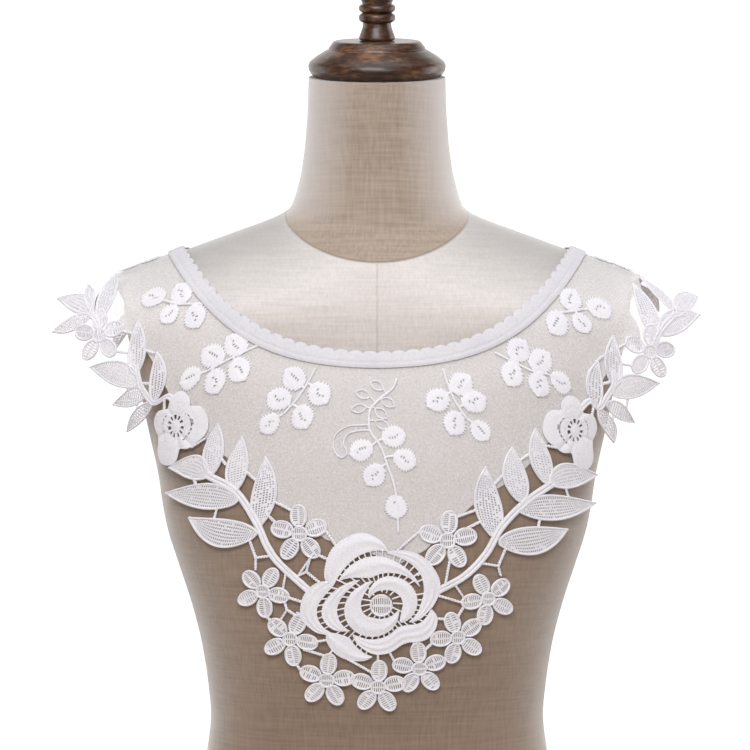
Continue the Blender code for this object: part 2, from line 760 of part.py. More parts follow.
def cloth(name, loops, layer, look, crests=(), relief=0.0):
    """A flat region laid on the master surface as one closed wall, with raised crest lines."""
    loops = [split_edges(loop) for loop in loops]
    crest_points = [p for crest in crests for p in crest]
    loose = list(grid_points(loops)) + crest_points
    points, cells, inside = triangles([anticlockwise(loop) for loop in loops], loose)
    kept = np.array([len(ids) % 2 == 1 for ids in inside])
    used = sorted({corner for k in np.flatnonzero(kept) for corner in cells[k]})
    order = {corner: k for k, corner in enumerate(used)}
    flat = points[used]
    rise = np.zeros(len(flat))
    for p in crest_points:
        rise[np.hypot(*(flat - p).T) < 0.5] = relief
    bottom = SURFACE.lift(flat, np.full(len(flat), layer[0]))
    top = SURFACE.lift(flat, layer[1] + rise)
    corners = [Vector(p * MM) for p in (*bottom, *top)]
    upper, edges = [], {}
    for k in np.flatnonzero(kept):
        cell = [order[corner] for corner in cells[k]]
        upper.append(cell)
        for a, b in zip(cell, [*cell[1:], cell[0]]):
            edges[(a, b)] = True
    shift = len(flat)
    faces = [[shift + i for i in reversed(cell)] for cell in upper]
    faces += [list(cell) for cell in upper]
    for a, b in edges:
        if (b, a) not in edges:
            faces.append([a, shift + a, shift + b])
            faces.append([a, shift + b, b])
    mesh = bpy.data.meshes.new(name)
    mesh.from_pydata(corners, [], faces)
    tidy_normals(mesh)
    return add_object(name, mesh, look)


def tidy_normals(mesh):
    """Turns a closed mesh's faces outwards."""
    made = bmesh.new()
    made.from_mesh(mesh)
    bmesh.ops.recalc_face_normals(made, faces=made.faces)
    if made.calc_volume(signed=True) < 0:
        bmesh.ops.reverse_faces(made, faces=made.faces)
    made.to_mesh(mesh)
    made.free()
    mesh.shade_smooth()
    mesh.set_sharp_from_angle(angle=math.radians(40))


def neckline(angle, outwards=0.0):
    """The neckline at an angle from the left shoulder, moved away from the neck by a distance."""
    angle = np.asarray(angle, float)
    deep = np.where(np.sin(angle) >= 0, NECKLINE_FRONT, NECKLINE_BACK)
    x = (NECKLINE_WIDTH + outwards) * np.cos(angle)
    s = (deep + outwards) * np.sign(np.sin(angle)) * np.abs(np.sin(angle)) ** NECKLINE_FULLNESS
    return np.stack([x, s], -1)


def neckline_angles(step):
    """Angles at even steps along the neckline, from the back opening round to the back opening."""
    fine = np.linspace(-math.pi / 2, 1.5 * math.pi, 4001)
    line = neckline(fine)
    way = np.concatenate([[0], np.cumsum(np.hypot(*np.diff(line, axis=0).T))])
    margin = BACK_OPENING / 2
    count = round((way[-1] - 2 * margin) / step)
    return np.interp(np.linspace(margin, way[-1] - margin, count + 1), way, fine)


def band_outline():
    """The neck band, straight along the net and scalloped towards the neck."""
    angles = neckline_angles(SCALLOP_PITCH)
    lower = neckline(angles, BAND_WIDTH / 2)
    upper = [neckline(angles[0], -BAND_WIDTH / 2 + SCALLOP_DEPTH)]
    for a, b in zip(angles, angles[1:]):
        upper.append(neckline((a + b) / 2, -BAND_WIDTH / 2))
        upper.append(neckline(b, -BAND_WIDTH / 2 + SCALLOP_DEPTH))
    return anticlockwise(np.concatenate([lower, np.array(upper)[::-1]]))


def back_hem(degrees, inwards=0.0):
    """The back hem at an angle from the side towards the centre back, on the left."""
    angle = np.radians(degrees)
    x = -(BACK_HEM_WIDTH - inwards) * np.cos(angle)
    s = -(BACK_HEM_DEPTH - inwards) * np.sin(angle) ** BACK_HEM_FULLNESS
    return np.stack([x, s], -1)


def mirrored(loop):
    return anticlockwise(np.asarray(loop) * [-1, 1])


def make_net(look):
    """The yoke: neckline inside, lace edge outside, open at the centre back."""
    front = [spot(place) for place in (*NET_EDGE_LEFT, *NET_EDGE_RIGHT)]
    hem = back_hem(np.linspace(*BACK_HEM_ANGLES, BACK_HEM_POINTS), NET_SETBACK)
    side = np.array(NET_SIDE)
    outer = np.concatenate([hem[::-1], side, front, side[::-1] * [-1, 1], hem * [-1, 1]])
    inner = neckline(neckline_angles(NECKLINE_STEP))
    closed = np.concatenate([inner, [[0, -NECKLINE_BACK]]])
    corners = ((-1, -0.5 * NECKLINE_BACK), (1, -0.5 * NECKLINE_BACK),
               (1, -1.1 * BACK_HEM_DEPTH), (-1, -1.1 * BACK_HEM_DEPTH))
    slit = np.array(corners) * [BACK_OPENING / 2, 1]
    return cloth("net_yoke", union([outer], [closed, slit]), NET_LAYER, look)


def make_rose(look):
    """The large rose, its petals raised along their crests, with the bars that reach out of it."""
    centre = spot(ROSE_PLACE)
    outlines, crests = [disc(centre, ROSE_DISC, 12)], []
    for row in ROSE_PETALS:
        outline, crest = petal(centre, row)
        outlines.append(grown(outline, ROSE_GAP / 2))
        crests.append(crest[1:-1])
    outlines += [seen_bar(row) for row in ROSE_BARS]
    return outlines, crests


def side_rose(centre, mirror):
    outlines, crests = [disc(centre, SIDE_ROSE_RING, 14)], []
    for row in SIDE_ROSE_PETALS:
        if mirror:
            row = (180 - row[1], 180 - row[0], row[4], row[3], row[2], row[5])
        outline, crest = petal(centre, row, 5)
        outlines.append(outline)
        crests.append(crest[1:-1])
    return outlines, crests


def back_lace():
    """The left half of the back edging: a stem along the hem, pairs of leaves and two flowers."""
    path = back_hem(np.linspace(*BACK_STEM_ENDS, BACK_STEM_POINTS), STEM_SETBACK)
    outlines = [ribbon(path, [SIDE_STEM_WIDTH] * len(path))]
    length, width = BACK_LEAF
    for degrees in BACK_LEAF_ANGLES:
        root, ahead = back_hem(degrees, STEM_SETBACK), back_hem(degrees + 1, STEM_SETBACK)
        heading = math.atan2(*(ahead - root)[::-1])
        for side in (-1, 1):
            angle = heading + side * math.radians(BACK_LEAF_SPREAD)
            tip = root + length * np.array([math.cos(angle), math.sin(angle)])
            outlines.append(leaf(root, tip, width, side * BACK_LEAF_BEND, 4))
    for degrees in BACK_FLOWER_ANGLES:
        outlines += flower(back_hem(degrees, STEM_SETBACK), BACK_FLOWER_TURN, BACK_FLOWER_REACH)
    return outlines


def sprig_leaf(centre, direction, size=SPRIG_LEAF):
    """A short round-shouldered leaf about its middle."""
    length, width = size
    angle = np.radians(direction)
    base = around(centre, -length / 2, angle)
    tip = around(centre, length / 2, angle)
    return leaf(base, tip, width, 0, 4)


def sprig_outlines(sprig):
    outlines = [seen_stem(sprig["stem"], SPRIG_STEM)]
    middle_line = smooth_path([spot(place) for place in sprig["stem"]], 6)
    for u, v, direction in sprig["leaves"]:
        centre = spot((u, v))
        outlines.append(sprig_leaf(centre, direction))
        base = around(centre, -SPRIG_LEAF[0] * 0.3, np.radians(direction))
        root = middle_line[np.argmin(np.hypot(*(middle_line - base).T))]
        outlines.append(ribbon([root, base], [SPRIG_LEAF_STEM] * 2))
    return outlines


def make_sprigs(look, taken):
    """Every sprig on the net, kept clear of the band and of the cord lace."""
    cut = [grown(outline, PIECE_GAP) for outline in taken]
    for name, sprig in SPRIGS.items():
        outlines = sprig_outlines(sprig)
        if name == "centre":
            outlines.append(seen_stem(CURL, SPRIG_STEM))
            line = smooth_path([spot(place) for place in sprig["stem"]], 6)
            for u, v, direction in CENTRE_LEAVES:
                centre = spot((u, v))
                outlines.append(sprig_leaf(centre, direction, CENTRE_LEAF))
                root = line[np.argmin(np.hypot(*(line - centre).T))]
                outlines.append(ribbon([root, centre], [SPRIG_STEM] * 2))
        cloth(f"sprig_{name}", union(outlines, cut), SPRIG_LAYER, look)
    path = smooth_path(BACK_SPRIG_STEM)
    back = [ribbon(path, [SPRIG_STEM] * len(path))]
    for x, s, direction in BACK_SPRIG_LEAVES:
        back.append(sprig_leaf((x, s), direction))
        root = np.array(BACK_SPRIG_STEM[1])
        back.append(ribbon([root, (x, s)], [SPRIG_STEM] * 2))
    cloth("sprig_back_left", union(back, cut), SPRIG_LAYER, look)
    cloth("sprig_back_right", union([mirrored(outline) for outline in back], cut), SPRIG_LAYER, look)


def make_lace(look, band):
    """The cord lace, piece by piece: each is kept clear of those made before it."""
    taken = [band]

    def add(name, outlines, crests=()):
        cut = [grown(outline, PIECE_GAP) for outline in taken]
        cloth(name, union(outlines, cut), LACE_LAYER, look, crests, PETAL_RELIEF)
        taken.extend(outlines)

    rose, crests = make_rose(look)
    add("lace_rose", rose, crests)
    for side in ("left", "right"):
        outlines = [seen_leaf(row) for row in SPRAY_LEAVES[side]]
        outlines.append(seen_stem(SPRAY_STEMS[side], STEM_WIDTH))
        add(f"lace_spray_{side}", outlines + [seen_bar(row) for row in SPRAY_BARS[side]])
        add(f"lace_flower_{side}", seen_flower(UPPER_FLOWERS[side]))
    lower = [outline for row in LOWER_FLOWERS for outline in seen_flower(row)]
    add("lace_flowers_lower", lower + [seen_bar(row) for row in FLOWER_BARS])
    for side in ("left", "right"):
        outlines, crests = side_rose(spot(SIDE_ROSE_PLACES[side]), side == "right")
        outlines.append(seen_stem(SIDE_STEMS[side], SIDE_STEM_WIDTH))
        outlines += [seen_leaf(row) for row in SIDE_LEAVES[side]]
        outlines += [seen_bar(row) for row in SIDE_BARS[side]]
        add(f"lace_side_{side}", outlines, crests)
        outlines = seen_flower(SHOULDER_FLOWERS[side])
        outlines.append(seen_stem(SHOULDER_STEMS[side], SIDE_STEM_WIDTH))
        outlines += [seen_leaf(row) for row in SHOULDER_LEAVES[side]]
        add(f"lace_shoulder_{side}", outlines)
    back = back_lace()
    add("lace_back_left", back)
    add("lace_back_right", [mirrored(outline) for outline in back])
    return taken


# Dress form and its turned wood

def neck_at(z):
    """The neck's half width, half depth, middle and lean at a height."""
    heights = [row[0] for row in NECK]
    return [float(np.interp(z, heights, [row[k] for row in NECK])) for k in range(1, 5)]


def body_ring(z):
    """A level ring of the form: the body's section joined smoothly with the neck's."""
    wide = float(half_width(np.array(float(z)), "form_width"))
    full = float(half_width(np.array(float(z)), "cloth_width"))
    limit = float(CURVES["form_width"](z))
    power = float(CURVES["power"](z))
    neck_width, neck_depth, middle, _ = neck_at(z)
    ring = []
    for k in range(RING_POINTS):
        turn = math.tau * k / RING_POINTS
        deep = float(CURVES["front" if math.sin(turn) < 0 else "back"](z))
        angle = math.atan2(max(deep, neck_depth) * math.sin(turn), max(wide, neck_width) * math.cos(turn))
        c, s = math.cos(angle), math.sin(angle)
        body = ((abs(c) / full) ** power + (abs(s) / max(deep, 1e-3)) ** power) ** (-1 / power)
        body = (body ** -SIDE_SQUARENESS + (abs(c) / limit) ** SIDE_SQUARENESS) ** (-1 / SIDE_SQUARENESS)
        radius = body
        if z > NECK_JOIN_HEIGHT:
            a = (c / neck_width) ** 2 + (s / neck_depth) ** 2
            b = -2 * s * middle / neck_depth ** 2
            root = math.sqrt(b * b - 4 * a * ((middle / neck_depth) ** 2 - 1))
            neck = (root - b) / (2 * a)
            radius = (body ** NECK_FILLET + neck ** NECK_FILLET) ** (1 / NECK_FILLET)
        ring.append((radius * c, radius * s, z))
    return ring


def neck_ring(z):
    """A ring of the neck, leaning forward."""
    wide, deep, middle, lean = neck_at(z)
    lean = math.radians(lean)
    ring = []
    for k in range(RING_POINTS):
        turn = math.tau * k / RING_POINTS
        away = deep * math.sin(turn)
        ring.append((wide * math.cos(turn), middle + away * math.cos(lean), z + away * math.sin(lean)))
    return ring


def make_form(look):
    """The linen torso: rings lofted from the flat base up to the leaning top of the neck."""
    rings = [body_ring(z) for z in RING_HEIGHTS] + [neck_ring(z) for z in NECK_RINGS]
    made = bmesh.new()
    levels = [[made.verts.new([value * MM for value in p]) for p in ring] for ring in rings]
    for below, above in zip(levels, levels[1:]):
        for k in range(RING_POINTS):
            j = (k + 1) % RING_POINTS
            made.faces.new((below[k], below[j], above[j], above[k]))
    made.faces.new(levels[0][::-1])
    made.faces.new(levels[-1])
    bmesh.ops.triangulate(made, faces=made.faces)
    mesh = bpy.data.meshes.new("dress_form")
    made.to_mesh(mesh)
    made.free()
    tidy_normals(mesh)
    return add_object("dress_form", mesh, look)


def make_turned(name, profile, look):
    """A turned piece on the neck's leaning axis."""
    mesh = bpy.data.meshes.new(name)
    corners = [(radius * MM, 0, height * MM) for radius, height in profile]
    mesh.from_pydata(corners, [(k, k + 1) for k in range(len(corners) - 1)], [])
    obj = add_object(name, mesh, look)
    _, _, middle, lean = neck_at(NECK_RINGS[-1])
    obj.location = (0, middle * MM, NECK_RINGS[-1] * MM)
    obj.rotation_euler = (math.radians(lean), 0, 0)
    screw = obj.modifiers.new("Turn", "SCREW")
    screw.axis = "Z"
    screw.steps = screw.render_steps = TURNED_STEPS
    screw.use_merge_vertices = True
    screw.merge_threshold = 0.0001
    screw.use_normal_calculate = True
    return obj


def stand_on_origin():
    """Moves everything so that the base's level is zero and the whole is centred on the origin."""
    bpy.context.view_layer.update()
    graph = bpy.context.evaluated_depsgraph_get()
    low, high = np.full(3, np.inf), np.full(3, -np.inf)
    parts = list(bpy.data.collections["lace_collar"].objects)
    for obj in parts:
        mesh = obj.evaluated_get(graph).to_mesh()
        corners = np.array([obj.matrix_world @ corner.co for corner in mesh.vertices])
        low, high = np.minimum(low, corners.min(0)), np.maximum(high, corners.max(0))
    holder = bpy.data.objects.new("lace_collar_origin", None)
    bpy.data.collections["lace_collar"].objects.link(holder)
    holder.location = (-(low[0] + high[0]) / 2, -(low[1] + high[1]) / 2, -low[2])
    for obj in parts:
        obj.parent = holder


def main():
    clear_scene()
    made = bpy.data.collections.new("lace_collar")
    bpy.context.scene.collection.children.link(made)
    linen = material("linen", LINEN)
    walnut = material("walnut", WALNUT)
    net = material("net", NET_WHITE)
    lace = material("lace", LACE_WHITE)
    make_form(linen)
    make_turned("neck_cap", CAP_PROFILE, walnut)
    make_turned("finial", FINIAL_PROFILE, walnut)
    make_net(net)
    band = band_outline()
    cloth("neck_band", [band], LACE_LAYER, lace)
    make_sprigs(lace, make_lace(lace, band))
    stand_on_origin()


main()
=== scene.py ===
"""Lace collar on a limbless dress form: the look that rides on the frame's solids."""

import math

import bmesh
import bpy
import numpy as np
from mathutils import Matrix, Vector
from mathutils.geometry import delaunay_2d_cdt


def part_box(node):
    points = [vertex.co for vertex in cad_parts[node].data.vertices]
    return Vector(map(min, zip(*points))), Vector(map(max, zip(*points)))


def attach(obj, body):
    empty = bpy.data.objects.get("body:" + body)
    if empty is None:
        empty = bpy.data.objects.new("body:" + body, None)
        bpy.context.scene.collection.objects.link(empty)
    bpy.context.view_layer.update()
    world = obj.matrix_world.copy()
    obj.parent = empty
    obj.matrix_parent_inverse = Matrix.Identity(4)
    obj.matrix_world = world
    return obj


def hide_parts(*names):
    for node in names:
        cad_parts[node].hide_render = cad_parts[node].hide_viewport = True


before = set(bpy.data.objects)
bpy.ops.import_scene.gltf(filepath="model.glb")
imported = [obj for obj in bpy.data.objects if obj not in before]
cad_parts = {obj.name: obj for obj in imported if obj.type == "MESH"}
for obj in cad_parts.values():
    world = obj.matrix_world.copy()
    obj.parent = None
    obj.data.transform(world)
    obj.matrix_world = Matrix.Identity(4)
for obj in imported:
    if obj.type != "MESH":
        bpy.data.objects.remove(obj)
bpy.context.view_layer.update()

MM = 0.001

# Heights, from the level of the side neck points
FORM_BOTTOM = -540.0
EYE_LEVEL = -122.0

# The front view: its grid has this many millimetres a step in the plane through the shoulders
VIEW_STEP = 0.755
VIEW_CENTRE = 377.0
VIEW_MIDDLE = 375.0
EYE_DISTANCE = 1805.0

# Layers, as distances out from the master surface
NET_LAYER = (0.9, 1.9)
LACE_LAYER = (2.65, 3.85)
SPRIG_LAYER = (2.65, 3.65)
PIECE_GAP = 0.6

# The triangulation: where a flat facet would dip further than this, the grid is halved
GRID = 7.0
LONGEST_EDGE = 6.0
LARGEST_DIP = 0.8
EDGE_CLEARANCE = 3.0
MERGE = 0.01
OUTLINE_TOLERANCE = 0.25
LARGEST_FILLED_HOLE = 12.0
LARGEST_SLOPE = 0.5

# Shoulder line
RIDGE_HEIGHT = 11.0
SHOULDER_SLOPE = 0.40
NECK_ROUND = 60.0

# The body's level sections, with half widths and depths from the middle plane
SECTION_COLUMNS = ("height", "cloth_width", "form_width", "front", "back", "power")
SECTIONS = (
    (11, 300, 200, 0, 0, 2.0),
    (6, 300, 200, 20, 24, 2.0),
    (0, 300, 200, 32, 40, 2.0),
    (-10, 299, 199, 44, 54, 2.0),
    (-20, 298, 198, 53, 63, 2.0),
    (-33, 297, 197, 63, 72, 2.0),
    (-50, 294, 194, 73, 80, 2.0),
    (-75, 284, 189, 84, 88, 2.0),
    (-100, 266, 184, 92, 92, 2.0),
    (-130, 236, 177, 100, 95, 2.1),
    (-163, 201, 173, 106, 95, 2.2),
    (-194, 182, 169, 110, 93, 2.3),
    (-217, 175, 167, 111, 90, 2.3),
    (-236, 171, 163, 112, 87, 2.3),
    (-262, 161, 155, 111, 82, 2.3),
    (-292, 150, 145, 108, 76, 2.3),
    (-322, 142, 137, 103, 71, 2.3),
    (-353, 137, 132, 96, 68, 2.3),
    (-375, 135, 130, 92, 67, 2.3),
    (-402, 138, 133, 90, 69, 2.3),
    (-450, 152, 147, 92, 82, 2.3),
    (-500, 167, 162, 95, 93, 2.3),
    (-560, 178, 172, 97, 100, 2.3),
)

# Rings of the dress form
RING_POINTS = 160
RING_HEIGHTS = (FORM_BOTTOM, -492, -448, -410, -378, -346, -310, -272, -240, -210, -182, -158, -136,
                -116, -98, -80, -64, -51, -40, -31, -23, -16, -9, -2, 6)
NECK_JOIN_HEIGHTS = (-100, -30)
SIDE_SQUARENESS = 12

# Neck: an oval tube that leans forward, as height, half width, half depth, middle and lean
NECK = (
    (-60, 70, 60, 2, 0),
    (-20, 68, 59, 0, 0),
    (0, 66, 58, -3, 1),
    (15, 61, 56, -6, 4),
    (30, 57, 54, -9, 7),
    (50, 54, 53, -13, 9),
    (75, 52, 52, -18, 11),
    (100, 51, 51, -23, 12),
)
NECK_RINGS = (15, 24, 36, 54, 76, 100)
NECK_FILLET = 7

# Turned wood, as radius and height up the leaning neck's own axis
CAP_PROFILE = (
    (0, 27.0), (31.0, 27.0), (32.8, 26.2), (36.0, 21.8), (36.2, 20.6), (37.6, 20.2), (44.5, 16.0),
    (50.0, 11.8), (51.3, 9.0), (51.0, 5.5), (49.0, 2.5), (46.5, 0.5), (0, 0.5),
)
FINIAL_PROFILE = (
    (0, 112.0), (5.0, 111.0), (8.8, 107.5), (10.0, 103.0), (8.6, 98.5), (5.6, 95.5), (5.0, 92.5),
    (9.0, 88.0), (13.6, 80.5), (15.2, 72.0), (14.6, 64.5), (12.6, 58.0), (10.8, 54.2), (12.8, 53.3),
    (13.6, 52.0), (13.6, 49.8), (12.6, 48.4), (10.5, 47.6), (12.6, 46.8), (13.6, 45.4), (13.6, 42.6),
    (12.6, 41.2), (10.4, 40.2), (10.8, 37.0), (12.4, 32.5), (13.5, 29.6), (13.4, 28.0), (12.6, 27.4),
    (0, 27.4),
)
TURNED_STEPS = 18

# Neckline: half an oval each way from the shoulder ridge
NECKLINE_WIDTH = 150.5
NECKLINE_FRONT = 165.0
NECKLINE_BACK = 106.0
NECKLINE_FULLNESS = 1.2
BAND_WIDTH = 12.5
SCALLOP_PITCH = 10.5
SCALLOP_DEPTH = 1.8
BACK_OPENING = 3.0

# Net: its lower edge at the front, which the lace covers, as places (u, v) in the front view
NET_EDGE_LEFT = (
    (99, 318), (114, 330), (140, 340), (160, 372), (172, 398), (196, 425), (216, 450), (238, 466),
    (258, 484), (282, 506), (300, 520), (326, 540), (350, 548),
)
NET_EDGE_RIGHT = (
    (400, 565), (425, 550), (447, 528), (470, 508), (492, 492), (514, 478), (538, 455), (556, 432),
    (572, 410), (590, 398), (606, 372), (622, 350), (646, 332),
)
NET_SIDE = ((-196.0, 8.0), (-194.0, 30.0))
NECKLINE_STEP = 12.0
BACK_HEM_WIDTH = 205.0
BACK_HEM_DEPTH = 184.0
BACK_HEM_FULLNESS = 0.9
BACK_HEM_ANGLES = (4, 89)
BACK_HEM_POINTS = 16
NET_SETBACK = 2.0
STEM_SETBACK = 4.0

# Large rose: arc-shaped petals round a middle, with their two end angles in degrees, and their
# radius at one end, in the middle and at the other end, and their width in millimetres
ROSE_PLACE = (382, 603)
ROSE_DISC = 8.5
ROSE_PETALS = (
    (83, 155, 37, 46, 40, 17),
    (154, 208, 39, 51, 43, 13),
    (144, 226, 27, 38, 31, 13),
    (21, 151, 30, 27, 35, 16),
    (-45, 83, 20, 37, 37, 13),
    (227, 358, 31, 28, 37, 12),
    (208, 263, 43, 41, 40, 12),
    (113, 332, 17, 21, 14, 14),
    (-42, 155, 20, 17, 12, 12),
)
ROSE_GAP = 3.2
PETAL_RELIEF = 1.0

# Side roses, at the armholes
SIDE_ROSE_PLACES = {"left": (178, 425), "right": (573, 430)}
SIDE_ROSE_RING = 13.0
SIDE_ROSE_PETALS = (
    (-12, 47, 13, 20, 14, 13),
    (38, 97, 13, 20, 13, 12),
    (92, 150, 12, 17, 13, 10),
    (140, 212, 12, 16, 14, 10),
    (205, 292, 14, 22, 15, 14),
    (284, 352, 14, 19, 13, 13),
)

# Five-petal flowers: place (u, v) in the front view, turn in degrees and reach in millimetres
UPPER_FLOWERS = {"left": (300, 533, 21, 21.0), "right": (447, 541, 13, 21.5)}
LOWER_FLOWERS = (
    (264, 591, 61, 19.5),
    (291, 638, 64, 20.3),
    (327, 679, 11, 20.7),
    (378, 687, 14, 20.5),
    (419, 667, 22, 20.0),
    (457, 637, 37, 19.9),
    (487, 598, 43, 19.7),
)
SHOULDER_FLOWERS = {"left": (101, 337, 19, 19.5), "right": (648, 353, 14, 20.0)}
FLOWER_DISC = 0.27
PETAL_MIDDLE = 0.60
PETAL_WIDTH = 0.60

# Leaves: base (u, v) and tip (u, v) in the front view, width and sideways bend in millimetres
SPRAY_LEAVES = {
    "left": (
        (259, 529, 266, 457, 19, 2),
        (237, 491, 243, 436, 17, -1),
        (214, 474, 219, 422, 16, -1),
        (210, 475, 171, 467, 16, 4),
        (241, 500, 168, 493, 18, 1),
        (260, 533, 191, 516, 19, -5),
    ),
    "right": (
        (494, 538, 485, 466, 21, -2),
        (519, 504, 511, 446, 19, -1),
        (545, 486, 534, 429, 17, -1),
        (547, 484, 595, 473, 17, -3),
        (515, 511, 593, 502, 18, 0),
        (496, 544, 565, 529, 19, 3),
    ),
}
STEM_WIDTH = 4.4
SIDE_STEM_WIDTH = 3.5
SPRAY_STEMS = {
    "left": ((312, 592), (281, 565), (268, 545), (258, 522), (237, 492), (208, 473)),
    "right": ((436, 592), (464, 574), (485, 553), (500, 528), (524, 501), (552, 482)),
}
SIDE_STEMS = {
    "left": ((177, 408), (170, 396), (156, 402), (147, 394), (141, 382), (138, 366)),
    "right": ((578, 410), (588, 400), (597, 408), (606, 396), (612, 384), (612, 370)),
}
SIDE_LEAVES = {
    "left": (
        (156, 402, 158, 351, 13, 2),
        (138, 377, 139, 322, 14, 0),
        (141, 385, 92, 366, 15, 2),
        (148, 395, 115, 403, 14, 2),
        (154, 402, 130, 430, 13, 2),
    ),
    "right": (
        (594, 408, 597, 362, 13, -2),
        (612, 386, 612, 335, 14, 0),
        (610, 394, 657, 383, 15, -2),
        (604, 403, 632, 420, 14, -2),
        (597, 408, 611, 442, 13, -2),
    ),
}
SHOULDER_LEAVES = {
    "left": (
        (100, 326, 118, 277, 14, 1),
        (92, 314, 90, 288, 8, 0),
        (94, 316, 59, 302, 14, 1),
        (94, 318, 55, 332, 11, -1),
    ),
    "right": (
        (654, 344, 631, 286, 16, 2),
        (676, 318, 638, 280, 12, 0),
        (672, 320, 696, 297, 13, 0),
        (656, 336, 698, 318, 14, -2),
    ),
}
SHOULDER_STEMS = {
    "left": ((101, 335), (99, 324), (91, 314)),
    "right": ((651, 348), (659, 332), (674, 317)),
}

# Bars: thin twisted cords between the motifs, each from one place (u, v) to another
BAR_WIDTH = 1.9
SPRAY_BARS = {
    "left": (
        (250, 536, 257, 557), (257, 557, 257, 567), (257, 557, 272, 554), (196, 478, 199, 486),
        (220, 504, 216, 519), (214, 446, 227, 463), (240, 466, 258, 482), (268, 498, 292, 510),
        (266, 512, 279, 524), (287, 570, 284, 588), (296, 579, 312, 556),
    ),
    "right": (
        (478, 563, 497, 566), (497, 566, 505, 546), (497, 566, 499, 573),(562, 482, 566, 497),
        (540, 507, 536, 529), (534, 450, 518, 461), (508, 468, 492, 486), (482, 508, 456, 516),
        (484, 518, 466, 527), (452, 580, 463, 596), (444, 588, 449, 560),
    ),
}
ROSE_BARS = (
    (323, 526, 340, 550), (315, 552, 340, 566), (312, 553, 307, 571), (307, 571, 297, 577),
    (307, 571, 326, 588), (286, 597, 310, 603), (298, 612, 314, 620), (314, 641, 334, 638),
    (326, 657, 338, 644), (378, 662, 378, 648), (388, 648, 397, 666), (415, 646, 408, 630),
    (430, 618, 448, 618), (464, 602, 430, 594), (424, 568, 418, 574), (421, 529, 392, 556),
)
FLOWER_BARS = (
    (284, 595, 288, 608), (288, 608, 280, 622), (288, 608, 300, 618), (265, 612, 275, 624),
    (296, 660, 304, 674), (344, 676, 360, 678), (394, 680, 408, 688), (434, 658, 454, 660),
    (472, 618, 488, 618), (456, 618, 466, 600), (305, 648, 332, 656), (374, 674, 348, 658),
    (436, 638, 424, 650),
)
SIDE_BARS = {
    "left": (
        (112, 330, 134, 334), (113, 350, 136, 354), (155, 353, 142, 348), (166, 400, 166, 412),
        (128, 392, 132, 384), (138, 398, 140, 408), (194, 448, 206, 438), (160, 384, 145, 384),
    ),
    "right": (
        (630, 343, 616, 347), (636, 366, 620, 364), (594, 361, 610, 352), (592, 404, 590, 416),
        (626, 394, 624, 406), (610, 418, 614, 410), (556, 448, 544, 446), (596, 384, 611, 381),
    ),
}

# Sprigs on the net: the stem as a line through places, and for each leaf the place (u, v) of its
# middle and its direction in degrees
SPRIG_LEAF = (17.0, 14.0)
SPRIG_STEM = 1.9
SPRIG_LEAF_STEM = 2.5
SPRIGS = {
    "left_1": {
        "stem": ((203, 306), (178, 305), (160, 301)),
        "leaves": ((154, 298, 176), (182, 294, 118), (170, 315, 232), (196, 318, 290)),
    },
    "left_2": {
        "stem": ((262, 344), (240, 354), (224, 362), (208, 371)),
        "leaves": ((236, 345, 140), (213, 357, 150), (191, 379, 205), (216, 382, 282),
                   (240, 371, 300)),
    },
    "left_3": {
        "stem": ((316, 368), (308, 383), (297, 400), (284, 414)),
        "leaves": ((294, 378, 135), (320, 396, 310), (279, 398, 160), (303, 417, 290),
                   (270, 425, 225)),
    },
    "right_1": {
        "stem": ((549, 314), (566, 313), (584, 310)),
        "leaves": ((570, 301, 62), (556, 325, 240), (581, 325, 300), (599, 310, 10)),
    },
    "right_2": {
        "stem": ((494, 352), (510, 362), (530, 370), (548, 376)),
        "leaves": ((518, 351, 50), (511, 375, 250), (540, 362, 40), (538, 384, 262),
                   (560, 383, 330)),
    },
    "right_3": {
        "stem": ((443, 368), (447, 385), (455, 403), (466, 418)),
        "leaves": ((461, 383, 40), (437, 401, 215), (474, 403, 20), (454, 424, 250),
                   (480, 432, 310)),
    },
    "centre": {
        "stem": ((397, 378), (392, 390), (379, 399), (370, 410), (370, 430), (381, 447),
                 (388, 468), (394, 485), (397, 505), (398, 532)),
        "leaves": ((394, 437, 8), (361, 450, 200), (405, 460, 335), (374, 476, 235),
                   (396, 506, 275)),
    },
}
CENTRE_LEAF = (11.0, 6.2)
CENTRE_LEAVES = ((377, 385, 150), (363, 395, 160), (359, 410, 190), (388, 402, 330),
                 (381, 413, 320), (382, 426, 330))
CURL = ((371, 426), (358, 426.3), (348.8, 427.6), (337.3, 433.3), (333.5, 443.5), (335.4, 452.4), (342.4, 458.8),
        (346.9, 455.6), (345.6, 448.6), (343.7, 443.5), (347.6, 435.9), (357.8, 432), (372, 431.5))

# Back: a stem along the hem, with leaves in pairs and flowers between them, placed by hem angle
BACK_STEM_ENDS = (3, 81)
BACK_STEM_POINTS = 20
BACK_LEAF_ANGLES = (8, 19, 30, 52, 63, 74)
BACK_FLOWER_ANGLES = (41, 83.5)
BACK_LEAF = (28.0, 13.0)
BACK_LEAF_BEND = 1.5
BACK_LEAF_SPREAD = 50
BACK_FLOWER_REACH = 16.0
BACK_FLOWER_TURN = 18
BACK_SPRIG_LEAVES = ((-169, 8, 240), (-185, 4, 200), (-172, -20, 110), (-187, -15, 160))
BACK_SPRIG_STEM = ((-157, -7), (-166, -7), (-178, -6))

# The frame's place: the middle of the form, its front, and the level of the side neck points
FORM_LOW, FORM_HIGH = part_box("dress_form")
FORM_FRONT = 112.0
ORIGIN = np.array([
    (FORM_LOW.x + FORM_HIGH.x) / 2 / MM,
    FORM_LOW.y / MM + FORM_FRONT,
    FORM_LOW.z / MM - FORM_BOTTOM,
])

